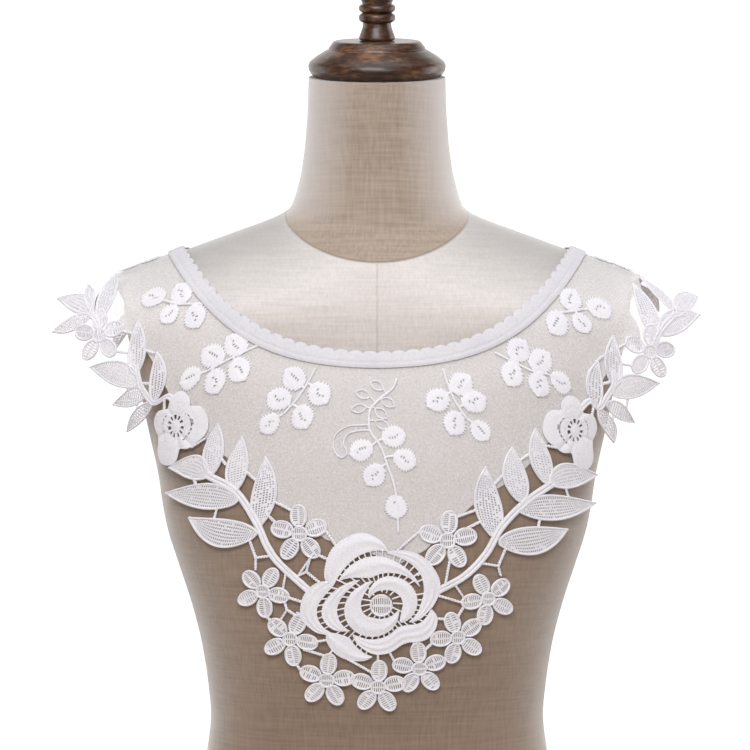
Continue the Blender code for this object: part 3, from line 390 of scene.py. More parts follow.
# Finer layers, as distances out from the master surface in millimetres
NET_SHEET = (1.3, 1.6)
LACE_LOW = 2.4
LACE_HEIGHT = 1.35
FIELD_HEIGHT = 0.75
SPRIG_LOW = 2.0
SPRIG_HEIGHT = 1.0
SPRIG_CORD_HEIGHT = 0.9
BAND_HEIGHT = 1.35

# Cords: the places of five points across them, and how high each stands
CORD_ACROSS = (-1.0, -0.72, 0.0, 0.72, 1.0)
CORD_HEIGHT = (0.25, 0.78, 1.0, 0.78, 0.25)
CORD_STEP = 0.8
SATIN_SWELL = 0.05
LEAF_CORD = 1.6
PETAL_CORD = 1.5
BAR_CORD = 1.85
BAR_HEIGHT = 1.1
BAR_KNOT = 0.24
BAR_STEP = 1.05
BAR_TUCK = 0.9
BAR_SAMPLES = 81

# Woven fields: the share of a pitch that is thread, and the sizes of holes
LEAF_THREAD = 0.50
FINE_THREAD = 0.70
FINE_DENSE = 0.85
PETAL_THREAD = 0.62
SMALLEST_HOLE = 0.35
LADDER_RELIEF = 0.12
LEAF_POINTS = 33
LEAF_PITCH = 1.7
LEAF_ROW = 2.2
LEAF_SHARES = (1.15, 1.05)
PETAL_PITCH = 1.5
PETAL_SHARES = (2.3, 0.9)
PETAL_DENSE = 0.93

# Satin petals
ROSE_TEETH = 0.45
ROSE_RELIEF = 1.6
SATIN_STEP = 0.8
SATIN_ACROSS = 13
SATIN_CREST = 0.25
SATIN_EDGE = 0.30
SATIN_FULL_WIDTH = 9.0
FOLD_DEPTH = 0.65
SATIN_STITCH = 0.11
RUNG_WIDTH = 1.1
RUNG_HEIGHT = 0.9
RUNG_PITCH = 4.1
RUNG_TUCK = 0.5
RUNG_GAPS = (0.7, 7.5)

# Embroidered leaves
BLADE_STEP = 1.8
BLADE_TOOTH = 1.9
BLADE_LEAN = 0.25

# Linen, as linear colours, and its seams
LINEN_DARK = (0.225, 0.157, 0.108)
LINEN_MIDDLE = (0.285, 0.207, 0.146)
LINEN_LIGHT = (0.335, 0.248, 0.180)
# Painted light on the linen: a paler tone where it faces up, greyer where it faces further up, from a given height
# upwards
LINEN_PAINTED_LIGHT_TONE = ((0.30, (0.86, 0.825, 0.805)), (0.85, (0.42, 0.395, 0.375)))
LINEN_PAINTED_LIGHT_HEIGHTS = (0.30, 0.42)
# Painted light on the neck: its colour made brighter above the neck seam
NECK_PAINTED_LIGHT_GAIN = (1.5, 1.68, 1.88)
# Painted rim light on the neck: paler where it faces sideways
NECK_PAINTED_RIM_RAMP = ((0.30, (0.0, 0.0, 0.0)), (0.95, (0.75, 0.75, 0.75)))
NECK_PAINTED_RIM_COLOUR = (0.66, 0.61, 0.59)
# How much of the painted light the linen takes, by how far it faces up
LINEN_PAINTED_LIGHT_RAMP = ((0.10, (0.0, 0.0, 0.0)), (0.42, (1.0, 1.0, 1.0)))
LINEN_THREADS = 420
SEAM_COLOUR = (0.30, 0.225, 0.165)
SEAM_SHARES = (0.30, 0.65)
SEAM_RISE = 2.8
SEAM_LEAN = 0.53
SEAM_HEIGHT = -3.0
SEAM_WIDTH = 1.0

LACE_COLOUR = (0.90, 0.895, 0.93)
# The ribbon: the lace's own white made darker, as painted shade
RIBBON_SHADED_WHITE = (0.74, 0.735, 0.765)
RIBBON_SHADE = (0.68, 0.675, 0.705)
LACE_SHADE = (0.81, 0.80, 0.84)
NET_COLOUR = (0.95, 0.93, 0.925)
NET_CELLS = 1100
NET_COVER = (0.28, 0.66)
TWIST_SCALE = 350
WALNUT_DARK = (0.022, 0.010, 0.007)
WALNUT_MIDDLE = (0.072, 0.033, 0.018)
WALNUT_LIGHT = (0.240, 0.115, 0.052)

TURNED_STEP = 0.7
TURNED_SMOOTHING = 1
TURNED_SIDES = 96

LEAF_DENSE = 0.75
LEAF_HOLES = (0.85, 0.30, 0.25, 0.35, 0.95, 0.95)
SIDE_HOLES = 0.9
SIDE_RELIEF = 1.3
# The side rose: its middle and the ring of slots round it as half widths and half heights, and its
# outline as angles and radii, with the angles of the creases between its petals
SIDE_MIDDLE = (3.2, 4.8)
SIDE_RIM = (6.0, 8.6)
SIDE_SLOTS = 11
SIDE_GAP = (11, 7)
SIDE_GAP_BANDS = (4, 6)
SIDE_ROWS = (
    (-165.6, 15.1), (-150, 15.4), (-135, 18.3), (-122, 25.1), (-110, 29.5), (-97.4, 28.5), (-88, 24.0),
    (-81, 17.0), (-61.7, 18.5), (-39.6, 19.0), (-16.4, 22.2), (1, 23.8), (21.6, 23.8), (38.3, 22.9),
    (54.5, 17.9), (63, 22.0), (80.5, 25.4), (97.8, 21.5), (115.8, 14.4), (139, 17.1), (161, 16.7),
    (194.4, 15.1),
)
SIDE_CREASES = (-150, -81, -50, 54.5, 116)
SIDE_DASHES = ((-60, 48), (135, 205))
SIDE_STEPS = 144
SLOT_HEIGHT = 1.0
OUTLINE_WIDTH = 1.2
BAND_STITCHES = 12
SCALLOP_POWER = 3.0
# The band from its neck side to its lower side: share of the way across, and share of its height
BAND_PROFILE = (
    (0.0, 0.35), (0.07, 0.80), (0.18, 0.98), (0.35, 1.0), (0.52, 0.97), (0.64, 0.92), (0.68, 0.72),
    (0.74, 0.93), (0.90, 0.85), (1.0, 0.35),
)
SEED = 1

# Stage, light and camera
FLOOR_COLOUR = (0.58, 0.53, 0.48)
FLOOR_REACH = 0.8
BACKDROP_COLOUR = (1.0, 1.0, 1.0)
BACKDROP_GLOW = 1.1
BACKDROP_PLACE = 6.0
BACKDROP_LOW = -2.4
BACKDROP_HIGH = 7.5
BACKDROP_REACH = 9.2
WORLD_COLOUR = (0.55, 0.52, 0.50)
WORLD_STRENGTH = 0.20
# Each light's name, place, aim, size, power in watts and colour
LIGHTS = (
    ("overhead", (0.0, -0.30, 1.40), (0.0, -0.05, 0.45), (0.9, 0.7), 3.5, (0.95, 0.98, 1.0)),
    ("neck", (0.35, -1.0, 0.9), (0.0, 0.0, 0.60), (0.5, 0.3), 1.3, (0.95, 0.95, 1.0)),
    ("front", (-0.3, -2.1, 1.7), (0.0, 0.0, 0.30), (1.4, 1.0), 36.5, (1.0, 0.97, 0.97)),
    ("low_front", (0.0, -3.0, 0.4), (0.0, 0.0, 0.30), (2.4, 1.2), 17, (1.0, 0.96, 0.95)),
    ("left_side", (-1.6, 0.5, 0.6), (0.0, 0.0, 0.35), (0.8, 1.6), 7, (1.0, 0.98, 0.97)),
    ("right_side", (1.6, 0.5, 0.6), (0.0, 0.0, 0.35), (0.8, 1.6), 12, (1.0, 0.98, 0.97)),
)
SENSOR = 36.0
PICTURE_SIZE = 750


# The large rose, petal by petal and from the front: at each angle in degrees from +X towards the
# ridge, the radii of the petal's inner and outer edge, as they look in the plane of the shoulders
ROSE_NEARER = 0.94
ROSE_MIDDLE = (-0.6, -1.9, 8.2)
ROSE_ROWS = {
    "top": ((83, 39.0, 39.6), (92, 39.6, 47.3), (106, 40.0, 55.3), (119, 40.0, 57.5), (131, 39.6, 57.5),
            (144, 39.4, 52.6), (152, 39.4, 48.4), (156, 39.6, 44.0)),
    "far_left": ((153, 40.4, 44.5), (157, 39.8, 52.5), (165, 42.8, 59.0), (176, 47.8, 61.0),
                 (184, 48.9, 60.0), (192, 47.9, 56.0), (200, 45.8, 51.5), (206, 43.4, 46.5)),
    "left": ((133, 24.2, 24.8), (148, 25.8, 30.9), (162, 29.0, 37.6), (173, 31.6, 42.8), (184, 33.7, 45.0),
             (194, 34.0, 43.8), (205, 33.5, 40.5), (214, 32.5, 35.5), (220, 31.2, 31.7)),
    "upper": ((149, 36.8, 37.8), (139, 30.8, 37.7), (129, 25.2, 37.5), (113, 21.0, 36.7), (90, 22.2, 34.8),
              (71, 24.0, 32.8), (50, 27.4, 32.1), (37, 29.6, 32.1), (27, 31.2, 31.8)),
    "right": ((84, 37.6, 39.2), (72, 36.8, 42.2), (60, 37.2, 45.8), (50, 37.4, 47.8), (39, 37.0, 48.6),
              (26, 34.6, 47.8), (16, 32.2, 44.1), (2, 29.0, 38.0), (-10, 27.4, 33.1), (-23, 25.6, 29.2),
              (-34, 24.2, 24.8)),
    "bottom": ((227, 31.6, 32.4), (237, 30.6, 35.2), (250, 29.6, 37.8), (264, 27.8, 39.6),
               (279, 25.6, 38.2), (294, 22.8, 34.8), (306, 22.2, 35.6), (320, 25.0, 40.9),
               (332, 30.5, 42.6), (343, 33.5, 42.7), (352, 35.4, 41.0), (357, 36.6, 37.6)),
    "low_left": ((205, 44.6, 46.4), (211, 40.4, 48.4), (217, 37.8, 49.5), (227, 35.6, 50.4),
                 (239, 38.2, 49.4), (253, 41.0, 46.2), (260, 42.0, 42.6)),
    "inner_low": ((113, 17.4, 18.0), (125, 16.4, 19.5), (140, 15.0, 20.8), (160, 15.2, 24.5),
                  (182, 15.8, 27.8), (201, 15.9, 29.0), (221, 15.0, 28.9), (240, 13.1, 28.0),
                  (261, 12.4, 25.6), (285, 12.1, 21.8), (309, 12.2, 17.6), (335, 13.0, 14.2)),
    "inner_high": ((158, 10.0, 10.8), (140, 9.8, 13.2), (128, 9.5, 14.4), (107, 9.5, 16.8),
                   (82, 9.9, 20.0), (58, 11.4, 22.8), (38, 13.0, 25.4), (19, 14.7, 26.6), (0, 15.5, 26.0),
                   (-15, 15.4, 24.6), (-33, 16.5, 22.6), (-46, 18.8, 20.5)),
}
ROSE_FOLDS = {"top": 1, "far_left": 2, "left": 2, "upper": 1, "right": 2, "bottom": 2, "low_left": 1,
              "inner_low": 1, "inner_high": 1}
# The master surface

def section_curve(column):
    """A smooth curve through one column of the sections, with no overshoot, as a function of height."""
    rows = sorted(SECTIONS)
    height = np.array([row[0] for row in rows], float)
    value = np.array([row[SECTION_COLUMNS.index(column)] for row in rows], float)
    step = np.diff(height)
    slope = np.diff(value) / step
    tangent = np.zeros_like(height)
    tangent[0], tangent[-1] = slope[0], slope[-1]
    for i in range(1, len(height) - 1):
        if slope[i - 1] * slope[i] > 0:
            before = 2 * step[i] + step[i - 1]
            after = step[i] + 2 * step[i - 1]
            tangent[i] = (before + after) / (before / slope[i - 1] + after / slope[i])

    def at(z):
        z = np.clip(z, height[0], height[-1])
        i = np.clip(np.searchsorted(height, z) - 1, 0, len(step) - 1)
        t = (z - height[i]) / step[i]
        start = (1 + 2 * t) * (1 - t) ** 2 * value[i] + t * (1 - t) ** 2 * step[i] * tangent[i]
        return start + t * t * (3 - 2 * t) * value[i + 1] + t * t * (t - 1) * step[i] * tangent[i + 1]

    return at


CURVES = {column: section_curve(column) for column in SECTION_COLUMNS[1:]}


def half_width(z, limit):
    """Half width of a level section: the shoulder line above, the body's side below."""
    reach = (RIDGE_HEIGHT - z) / SHOULDER_SLOPE
    shoulder = np.sqrt(np.maximum((NECK_ROUND + reach) ** 2 - NECK_ROUND ** 2, 1e-6))
    side = CURVES[limit](z)
    return (shoulder ** -10.0 + side ** -10.0) ** -0.1


def depth(x, z, front):
    """How far the surface lies from the middle plane at x and height z."""
    power = CURVES["power"](z)
    across = np.clip(np.abs(x) / half_width(z, "cloth_width"), 0, 1)
    deep = np.where(front, CURVES["front"](z), CURVES["back"](z))
    return deep * (1 - across ** power) ** (1 / power)


class Surface:
    """Points and normals of the master surface at any (x, s), read from arches over the ridge."""

    step = 2.0
    x_limit = 250.0
    s_limits = (-300.0, 480.0)
    arch_points = 1500
    arch_drop = {True: 560.0, False: 400.0}
    ridge_bottom = -80.0
    sight_range = (-160.0, 40.0)
    sight_points = 2001

    def __init__(self):
        heights = np.linspace(RIDGE_HEIGHT - 0.1, self.ridge_bottom, self.sight_points)
        widths = half_width(heights, "cloth_width")
        widest = np.argmax(widths)
        self.ridge_widths = widths[:widest + 1]
        self.ridge_heights = heights[:widest + 1]
        self.xs = np.arange(-self.x_limit, self.x_limit + self.step / 2, self.step)
        self.ss = np.arange(self.s_limits[0], self.s_limits[1] + self.step / 2, self.step)
        self.points = np.array([self.arch(x) for x in self.xs])
        along_x, along_s = np.gradient(self.points, axis=(0, 1))
        normals = np.cross(along_s, along_x)
        self.normals = normals / np.linalg.norm(normals, axis=2, keepdims=True)

    def ridge(self, x):
        return np.interp(np.abs(x), self.ridge_widths, self.ridge_heights)

    def arch(self, x):
        """The line over the shoulder at one x, as points spaced evenly along the cloth."""
        line = np.zeros((len(self.ss), 3))
        line[:, 0] = x
        for front in (True, False):
            z = self.ridge(x) - self.arch_drop[front] * np.linspace(0, 1, self.arch_points) ** 2
            y = depth(x, z, front) * (-1 if front else 1)
            y[0] = 0
            way = np.concatenate([[0], np.cumsum(np.hypot(np.diff(y), np.diff(z)))])
            here = self.ss >= 0 if front else self.ss <= 0
            line[here, 1] = np.interp(np.abs(self.ss[here]), way, y)
            line[here, 2] = np.interp(np.abs(self.ss[here]), way, z)
        return line

    def read(self, table, flat):
        flat = np.asarray(flat, float)
        a = np.clip((flat[..., 0] + self.x_limit) / self.step, 0, len(self.xs) - 1.001)
        b = np.clip((flat[..., 1] - self.s_limits[0]) / self.step, 0, len(self.ss) - 1.001)
        i, j = a.astype(int), b.astype(int)
        a, b = (a - i)[..., None], (b - j)[..., None]
        near = (1 - b) * table[i, j] + b * table[i, j + 1]
        far = (1 - b) * table[i + 1, j] + b * table[i + 1, j + 1]
        return (1 - a) * near + a * far

    def lift(self, flat, out):
        """Flat places laid on the surface and moved out from it."""
        out = np.asarray(out, float)
        return self.read(self.points, flat) + self.read(self.normals, flat) * out[..., None]

    def seen_at(self, u, v):
        """The (x, s) of a place in the front view: where its line of sight meets the cloth."""
        y = np.linspace(*self.sight_range, self.sight_points)
        along = (EYE_DISTANCE + y) / EYE_DISTANCE
        x = (VIEW_MIDDLE - VIEW_CENTRE) * VIEW_STEP + (u - VIEW_MIDDLE) * VIEW_STEP * along
        z = EYE_LEVEL - (v - VIEW_MIDDLE) * VIEW_STEP * along
        inside = (z < self.ridge(x)) & (y > -depth(x, z, True))
        if not inside.any():
            return np.array([(u - VIEW_CENTRE) * VIEW_STEP, 0.0])
        hit = np.argmax(inside)
        front = self.ss >= 0
        arch = self.read(self.points, np.stack([np.full(front.sum(), x[hit]), self.ss[front]], -1))
        nearest = np.argmin(np.hypot(arch[:, 1] - y[hit], arch[:, 2] - z[hit]))
        return np.array([x[hit], self.ss[front][nearest]])


SURFACE = Surface()


def spot(place):
    return SURFACE.seen_at(*place)


# Outlines in the (x, s) plane, as closed loops of points that run anticlockwise

def area(loop):
    x, s = loop[:, 0], loop[:, 1]
    return 0.5 * np.sum(x * np.roll(s, -1) - np.roll(x, -1) * s)


def anticlockwise(loop):
    return loop if area(loop) > 0 else loop[::-1]


def level_slope(place):
    """How much s changes with x along the surface's level line through a place."""
    reach = np.array([[-1.0, 0.0], [1.0, 0.0], [0.0, -1.0], [0.0, 1.0]])
    left, right, above, below = SURFACE.read(SURFACE.points, np.asarray(place) + reach)[:, 2]
    fall = above - below
    slope = (right - left) / fall if fall else 0.0
    return max(-LARGEST_SLOPE, min(LARGEST_SLOPE, slope))


def beside(centre, aside, above):
    """A place level with a centre and then towards the ridge from it, by two distances."""
    return np.asarray(centre) + np.stack([aside, level_slope(centre) * aside - above], -1)


def around(centre, radius, angle):
    """A place at a radius and an angle, seen from the front: angles turn from +X towards the ridge."""
    return beside(centre, radius * np.cos(angle), radius * np.sin(angle))


def disc(centre, radius, points=10):
    return anticlockwise(around(centre, radius, np.linspace(0, math.tau, points, endpoint=False)))


def ribbon(path, widths):
    """A strip along a path, with a width at each point of it."""
    path = np.asarray(path, float)
    along = np.gradient(path, axis=0)
    along /= np.linalg.norm(along, axis=1, keepdims=True)
    aside = np.stack([-along[:, 1], along[:, 0]], -1) * np.asarray(widths, float)[:, None] / 2
    return anticlockwise(np.concatenate([path + aside, (path - aside)[::-1]]))


def smooth_path(places, pieces=3):
    """A curve through places, each stretch cut into a few pieces."""
    p = np.asarray(places, float)
    p = np.concatenate([[2 * p[0] - p[1]], p, [2 * p[-1] - p[-2]]])
    made = []
    for a, b, c, d in zip(p, p[1:], p[2:], p[3:]):
        for t in np.linspace(0, 1, pieces, endpoint=False):
            made.append(0.5 * (2 * b + (c - a) * t + (2 * a - 5 * b + 4 * c - d) * t * t
                               + (3 * b - a - 3 * c + d) * t ** 3))
    return np.array([*made, p[-2]])


def leaf(base, tip, width, bend, points=5):
    """A pointed leaf, widest below its middle, whose midrib bends aside."""
    base, tip = np.asarray(base, float), np.asarray(tip, float)
    along = tip - base
    aside = np.array([-along[1], along[0]]) / np.linalg.norm(along)
    t = np.linspace(0.06, 1, points + 1)[:, None]
    midrib = base + along * t + aside * bend * 4 * t * (1 - t)
    half = width / 2 * np.sin(math.pi * t ** 0.80) ** 0.85
    return anticlockwise(np.concatenate([midrib + aside * half, (midrib - aside * half)[-2::-1]]))


def petal(centre, row, points=6):
    """An arc-shaped rose petal, thickest in its middle, and the crest line along it."""
    start, stop, near, middle, far, width = row
    t = np.linspace(0, 1, points + 1)
    angle = np.radians(start + (stop - start) * t)
    radius = near * (1 - t) * (1 - 2 * t) + middle * 4 * t * (1 - t) + far * t * (2 * t - 1)
    half = width / 2 * (0.25 + 0.75 * np.sin(math.pi * t) ** 0.7)
    outer = around(centre, radius + half, angle)
    inner = around(centre, radius - half, angle)
    return anticlockwise(np.concatenate([outer, inner[::-1]])), around(centre, radius + half * 0.3, angle)


def flower(centre, turn, reach):
    """Five round petals and a disc."""
    made = [disc(centre, reach * FLOWER_DISC, 8)]
    angle = np.linspace(0, math.tau, 9, endpoint=False)
    out = reach * (PETAL_MIDDLE + (1 - PETAL_MIDDLE) * np.cos(angle))
    side = reach * PETAL_WIDTH / 2 * np.sin(angle)
    for k in range(5):
        heading = math.radians(turn + 72 * k)
        aside = out * math.cos(heading) - side * math.sin(heading)
        above = out * math.sin(heading) + side * math.cos(heading)
        made.append(anticlockwise(beside(centre, aside, above)))
    return made


def seen_flower(row):
    u, v, turn, reach = row
    return flower(spot((u, v)), turn, reach)


def seen_leaf(row):
    base_u, base_v, tip_u, tip_v, width, bend = row
    return leaf(spot((base_u, base_v)), spot((tip_u, tip_v)), width, bend)


def seen_bar(row):
    start, end = spot(row[:2]), spot(row[2:])
    return ribbon(np.linspace(start, end, 2), [BAR_WIDTH] * 2)


def seen_stem(places, width):
    path = smooth_path([spot(place) for place in places])
    return ribbon(path, [width] * len(path))


def grown(loop, by):
    """An outline moved outwards by a small distance."""
    loop = anticlockwise(loop)
    before = loop - np.roll(loop, 1, axis=0)
    after = np.roll(loop, -1, axis=0) - loop
    before /= np.linalg.norm(before, axis=1, keepdims=True) + 1e-9
    after /= np.linalg.norm(after, axis=1, keepdims=True) + 1e-9
    normal = np.stack([before[:, 1] + after[:, 1], -before[:, 0] - after[:, 0]], -1)
    lean = np.maximum(np.sum(normal ** 2, axis=1, keepdims=True) / 2, 0.5)
    return loop + normal / lean * by


# Flat regions

def triangles(loops, points):
    """Delaunay triangles over loops and loose points, each with the loops that it lies in."""
    corners = [Vector(p) for loop in loops for p in loop] + [Vector(p) for p in points]
    faces, start = [], 0
    for loop in loops:
        faces.append(list(range(start, start + len(loop))))
        start += len(loop)
    made, _, cells, _, _, inside = delaunay_2d_cdt(corners, [], faces, 0, MERGE)
    return np.array([p[:] for p in made]), cells, inside


def without_pinches(cells, kept):
    """Keeps more cells until no two kept ones meet at a corner alone."""
    while True:
        edges = {}
        for k in np.flatnonzero(kept):
            cell = cells[k]
            for a, b in zip(cell, [*cell[1:], cell[0]]):
                edges[(a, b)] = k
        outside = [edge for edge in edges if edge[::-1] not in edges]
        starts = [a for a, _ in outside]
        pinched = {a for a in starts if starts.count(a) > 1} if len(set(starts)) < len(starts) else set()
        if not pinched:
            return kept, outside
        for k, cell in enumerate(cells):
            if not kept[k] and pinched & set(cell):
                kept[k] = True


def union(solid, cut=()):
    """The loops round the solid outlines joined together, less the cut ones."""
    loops = [anticlockwise(loop) for loop in (*solid, *cut)]
    points, cells, inside = triangles(loops, [])
    kept = np.array([any(i < len(solid) for i in ids) and not any(i >= len(solid) for i in ids)
                     for ids in inside])
    kept = largest_body(cells, kept)
    kept, outside = without_pinches(cells, kept)
    following = dict(outside)
    found = []
    while following:
        start, here = following.popitem()
        chain = [start]
        while here != start:
            chain.append(here)
            here = following.pop(here)
        found.append(points[chain])
    return [thinned(loop) for loop in found if area(loop) > 0 or -area(loop) > LARGEST_FILLED_HOLE]


def largest_body(cells, kept):
    """Drops scraps that a cut has parted from the rest."""
    edges, parent = {}, {k: k for k in np.flatnonzero(kept)}

    def root(k):
        while parent[k] != k:
            parent[k] = parent[parent[k]]
            k = parent[k]
        return k

    for k in parent:
        cell = cells[k]
        for a, b in zip(cell, [*cell[1:], cell[0]]):
            other = edges.setdefault((min(a, b), max(a, b)), k)
            parent[root(k)] = root(other)
    sizes = {}
    for k in parent:
        sizes[root(k)] = sizes.get(root(k), 0) + 1
    best = max(sizes, key=sizes.get)
    return np.array([bool(kept[k]) and root(k) == best for k in range(len(cells))])


def thinned(loop):
    """A loop without the points that lie almost on a straight line or on each other."""
    points = list(loop)
    i = 0
    while i < len(points) and len(points) > 4:
        a, b, c = points[i - 1], points[i], points[(i + 1) % len(points)]
        chord = c - a
        length = np.hypot(*chord)
        off = abs(chord[0] * (b - a)[1] - chord[1] * (b - a)[0]) / max(length, 1e-6)
        if off < OUTLINE_TOLERANCE and length < LONGEST_EDGE or np.hypot(*(b - a)) < 0.3:
            points.pop(i)
        else:
            i += 1
    return np.array(points)


def dip(middle, reach):
    """How far the middle of a straight line between two places lies below the surface."""
    ends = SURFACE.read(SURFACE.points, middle - reach) + SURFACE.read(SURFACE.points, middle + reach)
    return np.linalg.norm(SURFACE.read(SURFACE.points, middle) - ends / 2, axis=-1)


def split_edges(loop):
    """A loop with its long edges split, so that it follows the surface."""
    made = []
    for a, b in zip(loop, np.roll(loop, -1, axis=0)):
        low = math.sqrt(dip((a + b) / 2, (b - a) / 2) / LARGEST_DIP)
        pieces = max(1, math.ceil(np.hypot(*(b - a)) / LONGEST_EDGE), math.ceil(low))
        made += [a + (b - a) * k / pieces for k in range(pieces)]
    return np.array(made)


def grid_points(loops):
    """Points of the grid that all pieces share, kept clear of the loops."""
    every = np.concatenate(loops)
    low, high = np.floor(every.min(0) / GRID), np.ceil(every.max(0) / GRID)
    x, s = np.meshgrid(np.arange(low[0], high[0] + 0.5, 0.5), np.arange(low[1], high[1] + 0.5, 0.5))
    steps = np.stack([x.ravel(), s.ravel()], -1)
    points = steps * GRID
    deepest = np.max([dip(points, np.array(way) * GRID / 2) for way in ((1, 1), (1, -1), (0, 1.4))], axis=0)
    points = points[(steps % 1 == 0).all(1) | (deepest > LARGEST_DIP)]
    clear = np.full(len(points), np.inf)
    for loop in loops:
        for a, b in zip(loop, np.roll(loop, -1, axis=0)):
            along = (b - a) / max(np.dot(b - a, b - a), 1e-9)
            t = np.clip((points - a) @ along, 0, 1)
            clear = np.minimum(clear, np.hypot(*(points - a - t[:, None] * (b - a)).T))
    return points[clear > EDGE_CLEARANCE]

def neckline(angle, outwards=0.0):
    """The neckline at an angle from the left shoulder, moved away from the neck by a distance."""
    angle = np.asarray(angle, float)
    deep = np.where(np.sin(angle) >= 0, NECKLINE_FRONT, NECKLINE_BACK)
    x = (NECKLINE_WIDTH + outwards) * np.cos(angle)
    s = (deep + outwards) * np.sign(np.sin(angle)) * np.abs(np.sin(angle)) ** NECKLINE_FULLNESS
    return np.stack([x, s], -1)


def neckline_angles(step):
    """Angles at even steps along the neckline, from the back opening round to the back opening."""
    fine = np.linspace(-math.pi / 2, 1.5 * math.pi, 4001)
    line = neckline(fine)
    way = np.concatenate([[0], np.cumsum(np.hypot(*np.diff(line, axis=0).T))])
    margin = BACK_OPENING / 2
    count = round((way[-1] - 2 * margin) / step)
    return np.interp(np.linspace(margin, way[-1] - margin, count + 1), way, fine)


def band_outline():
    """The neck band, straight along the net and scalloped towards the neck."""
    angles = neckline_angles(SCALLOP_PITCH)
    lower = neckline(angles, BAND_WIDTH / 2)
    upper = [neckline(angles[0], -BAND_WIDTH / 2 + SCALLOP_DEPTH)]
    for a, b in zip(angles, angles[1:]):
        upper.append(neckline((a + b) / 2, -BAND_WIDTH / 2))
        upper.append(neckline(b, -BAND_WIDTH / 2 + SCALLOP_DEPTH))
    return anticlockwise(np.concatenate([lower, np.array(upper)[::-1]]))


def back_hem(degrees, inwards=0.0):
    """The back hem at an angle from the side towards the centre back, on the left."""
    angle = np.radians(degrees)
    x = -(BACK_HEM_WIDTH - inwards) * np.cos(angle)
    s = -(BACK_HEM_DEPTH - inwards) * np.sin(angle) ** BACK_HEM_FULLNESS
    return np.stack([x, s], -1)


def mirrored(loop):
    return anticlockwise(np.asarray(loop) * [-1, 1])

# Dress form and its turned wood

def neck_at(z):
    """The neck's half width, half depth, middle and lean at a height."""
    heights = [row[0] for row in NECK]
    return [float(np.interp(z, heights, [row[k] for row in NECK])) for k in range(1, 5)]


def body_ring(z):
    """A level ring of the form: the body's section joined smoothly with the neck's."""
    wide = float(half_width(np.array(float(z)), "form_width"))
    full = float(half_width(np.array(float(z)), "cloth_width"))
    limit = float(CURVES["form_width"](z))
    power = float(CURVES["power"](z))
    neck_width, neck_depth, middle, _ = neck_at(z)
    ring = []
    for k in range(RING_POINTS):
        turn = math.tau * k / RING_POINTS
        deep = float(CURVES["front" if math.sin(turn) < 0 else "back"](z))
        angle = math.atan2(max(deep, neck_depth) * math.sin(turn), max(wide, neck_width) * math.cos(turn))
        c, s = math.cos(angle), math.sin(angle)
        body = ((abs(c) / full) ** power + (abs(s) / max(deep, 1e-3)) ** power) ** (-1 / power)
        body = (body ** -SIDE_SQUARENESS + (abs(c) / limit) ** SIDE_SQUARENESS) ** (-1 / SIDE_SQUARENESS)
        radius = body
        join = float(np.clip((z - NECK_JOIN_HEIGHTS[0]) / (NECK_JOIN_HEIGHTS[1] - NECK_JOIN_HEIGHTS[0]), 0, 1))
        if join > 0:
            a = (c / neck_width) ** 2 + (s / neck_depth) ** 2
            b = -2 * s * middle / neck_depth ** 2
            root = math.sqrt(b * b - 4 * a * ((middle / neck_depth) ** 2 - 1))
            neck = (root - b) / (2 * a)
            whole = (body ** NECK_FILLET + neck ** NECK_FILLET) ** (1 / NECK_FILLET)
            radius = body + (whole - body) * join * join * (3 - 2 * join)
        ring.append((radius * c, radius * s, z))
    return ring


def neck_ring(z):
    """A ring of the neck, leaning forward."""
    wide, deep, middle, lean = neck_at(z)
    lean = math.radians(lean)
    ring = []
    for k in range(RING_POINTS):
        turn = math.tau * k / RING_POINTS
        away = deep * math.sin(turn)
        ring.append((wide * math.cos(turn), middle + away * math.cos(lean), z + away * math.sin(lean)))
    return ring


# Patches: grids of places on the surface, given a top and an underside

class Weave:
    """Gathers patches laid on the master surface and makes one mesh of them."""

    def __init__(self):
        self.points = []
        self.quads = []
        self.count = 0

    def patch(self, flat, top, low, keep=None, ring=False):
        """A closed sheet over a grid of flat places; keep says which of its cells are cloth."""
        n, m = flat.shape[:2]
        rows = n if ring else n - 1
        keep = np.ones((rows, m - 1), bool) if keep is None else keep
        flat = np.asarray(flat, float)
        top = np.broadcast_to(np.asarray(top, float), (n, m))
        low = np.broadcast_to(np.asarray(low, float), (n, m))
        index = np.arange(n * m).reshape(n, m)
        ahead = np.roll(index, -1, axis=0)[:rows]
        corners = np.stack([index[:rows, :-1], ahead[:, :-1], ahead[:, 1:], index[:rows, 1:]], -1)
        places = flat.reshape(-1, 2)
        loop = places[corners]
        step = np.roll(loop, -1, axis=2)
        turn = np.sum(loop[..., 0] * step[..., 1] - loop[..., 1] * step[..., 0])
        near = np.zeros((rows + 2, m + 1), bool)
        near[1:-1, 1:-1] = keep
        if ring:
            near[0], near[-1] = near[-2], near[1]
        sides = [near[1:-1, :-2], near[2:, 1:-1], near[1:-1, 2:], near[:-2, 1:-1]]
        if turn > 0:
            corners = corners[..., ::-1]
            sides = [sides[2], sides[1], sides[0], sides[3]]
        lower = n * m
        quads = [corners[keep], corners[keep][:, ::-1] + lower]
        for k, beside_kept in enumerate(sides):
            edge = keep & ~beside_kept
            p, q = corners[edge][:, k], corners[edge][:, (k + 1) % 4]
            quads.append(np.stack([p + lower, q + lower, q, p], -1))
        self.points += [SURFACE.lift(places, top.ravel()), SURFACE.lift(places, low.ravel())]
        self.quads += [quad + self.count for quad in quads]
        self.count += 2 * lower

    def make(self, name, node, look, smooth=50):
        """The mesh object, riding on the body and standing for its CAD node."""
        points = np.concatenate(self.points)
        quads = np.concatenate(self.quads)
        used, quads = np.unique(quads, return_inverse=True)
        points = (points[used] + ORIGIN) * MM
        mesh = bpy.data.meshes.new(name)
        mesh.from_pydata(points.tolist(), [], quads.reshape(-1, 4).tolist())
        return finish_piece(name, mesh, node, look, smooth)


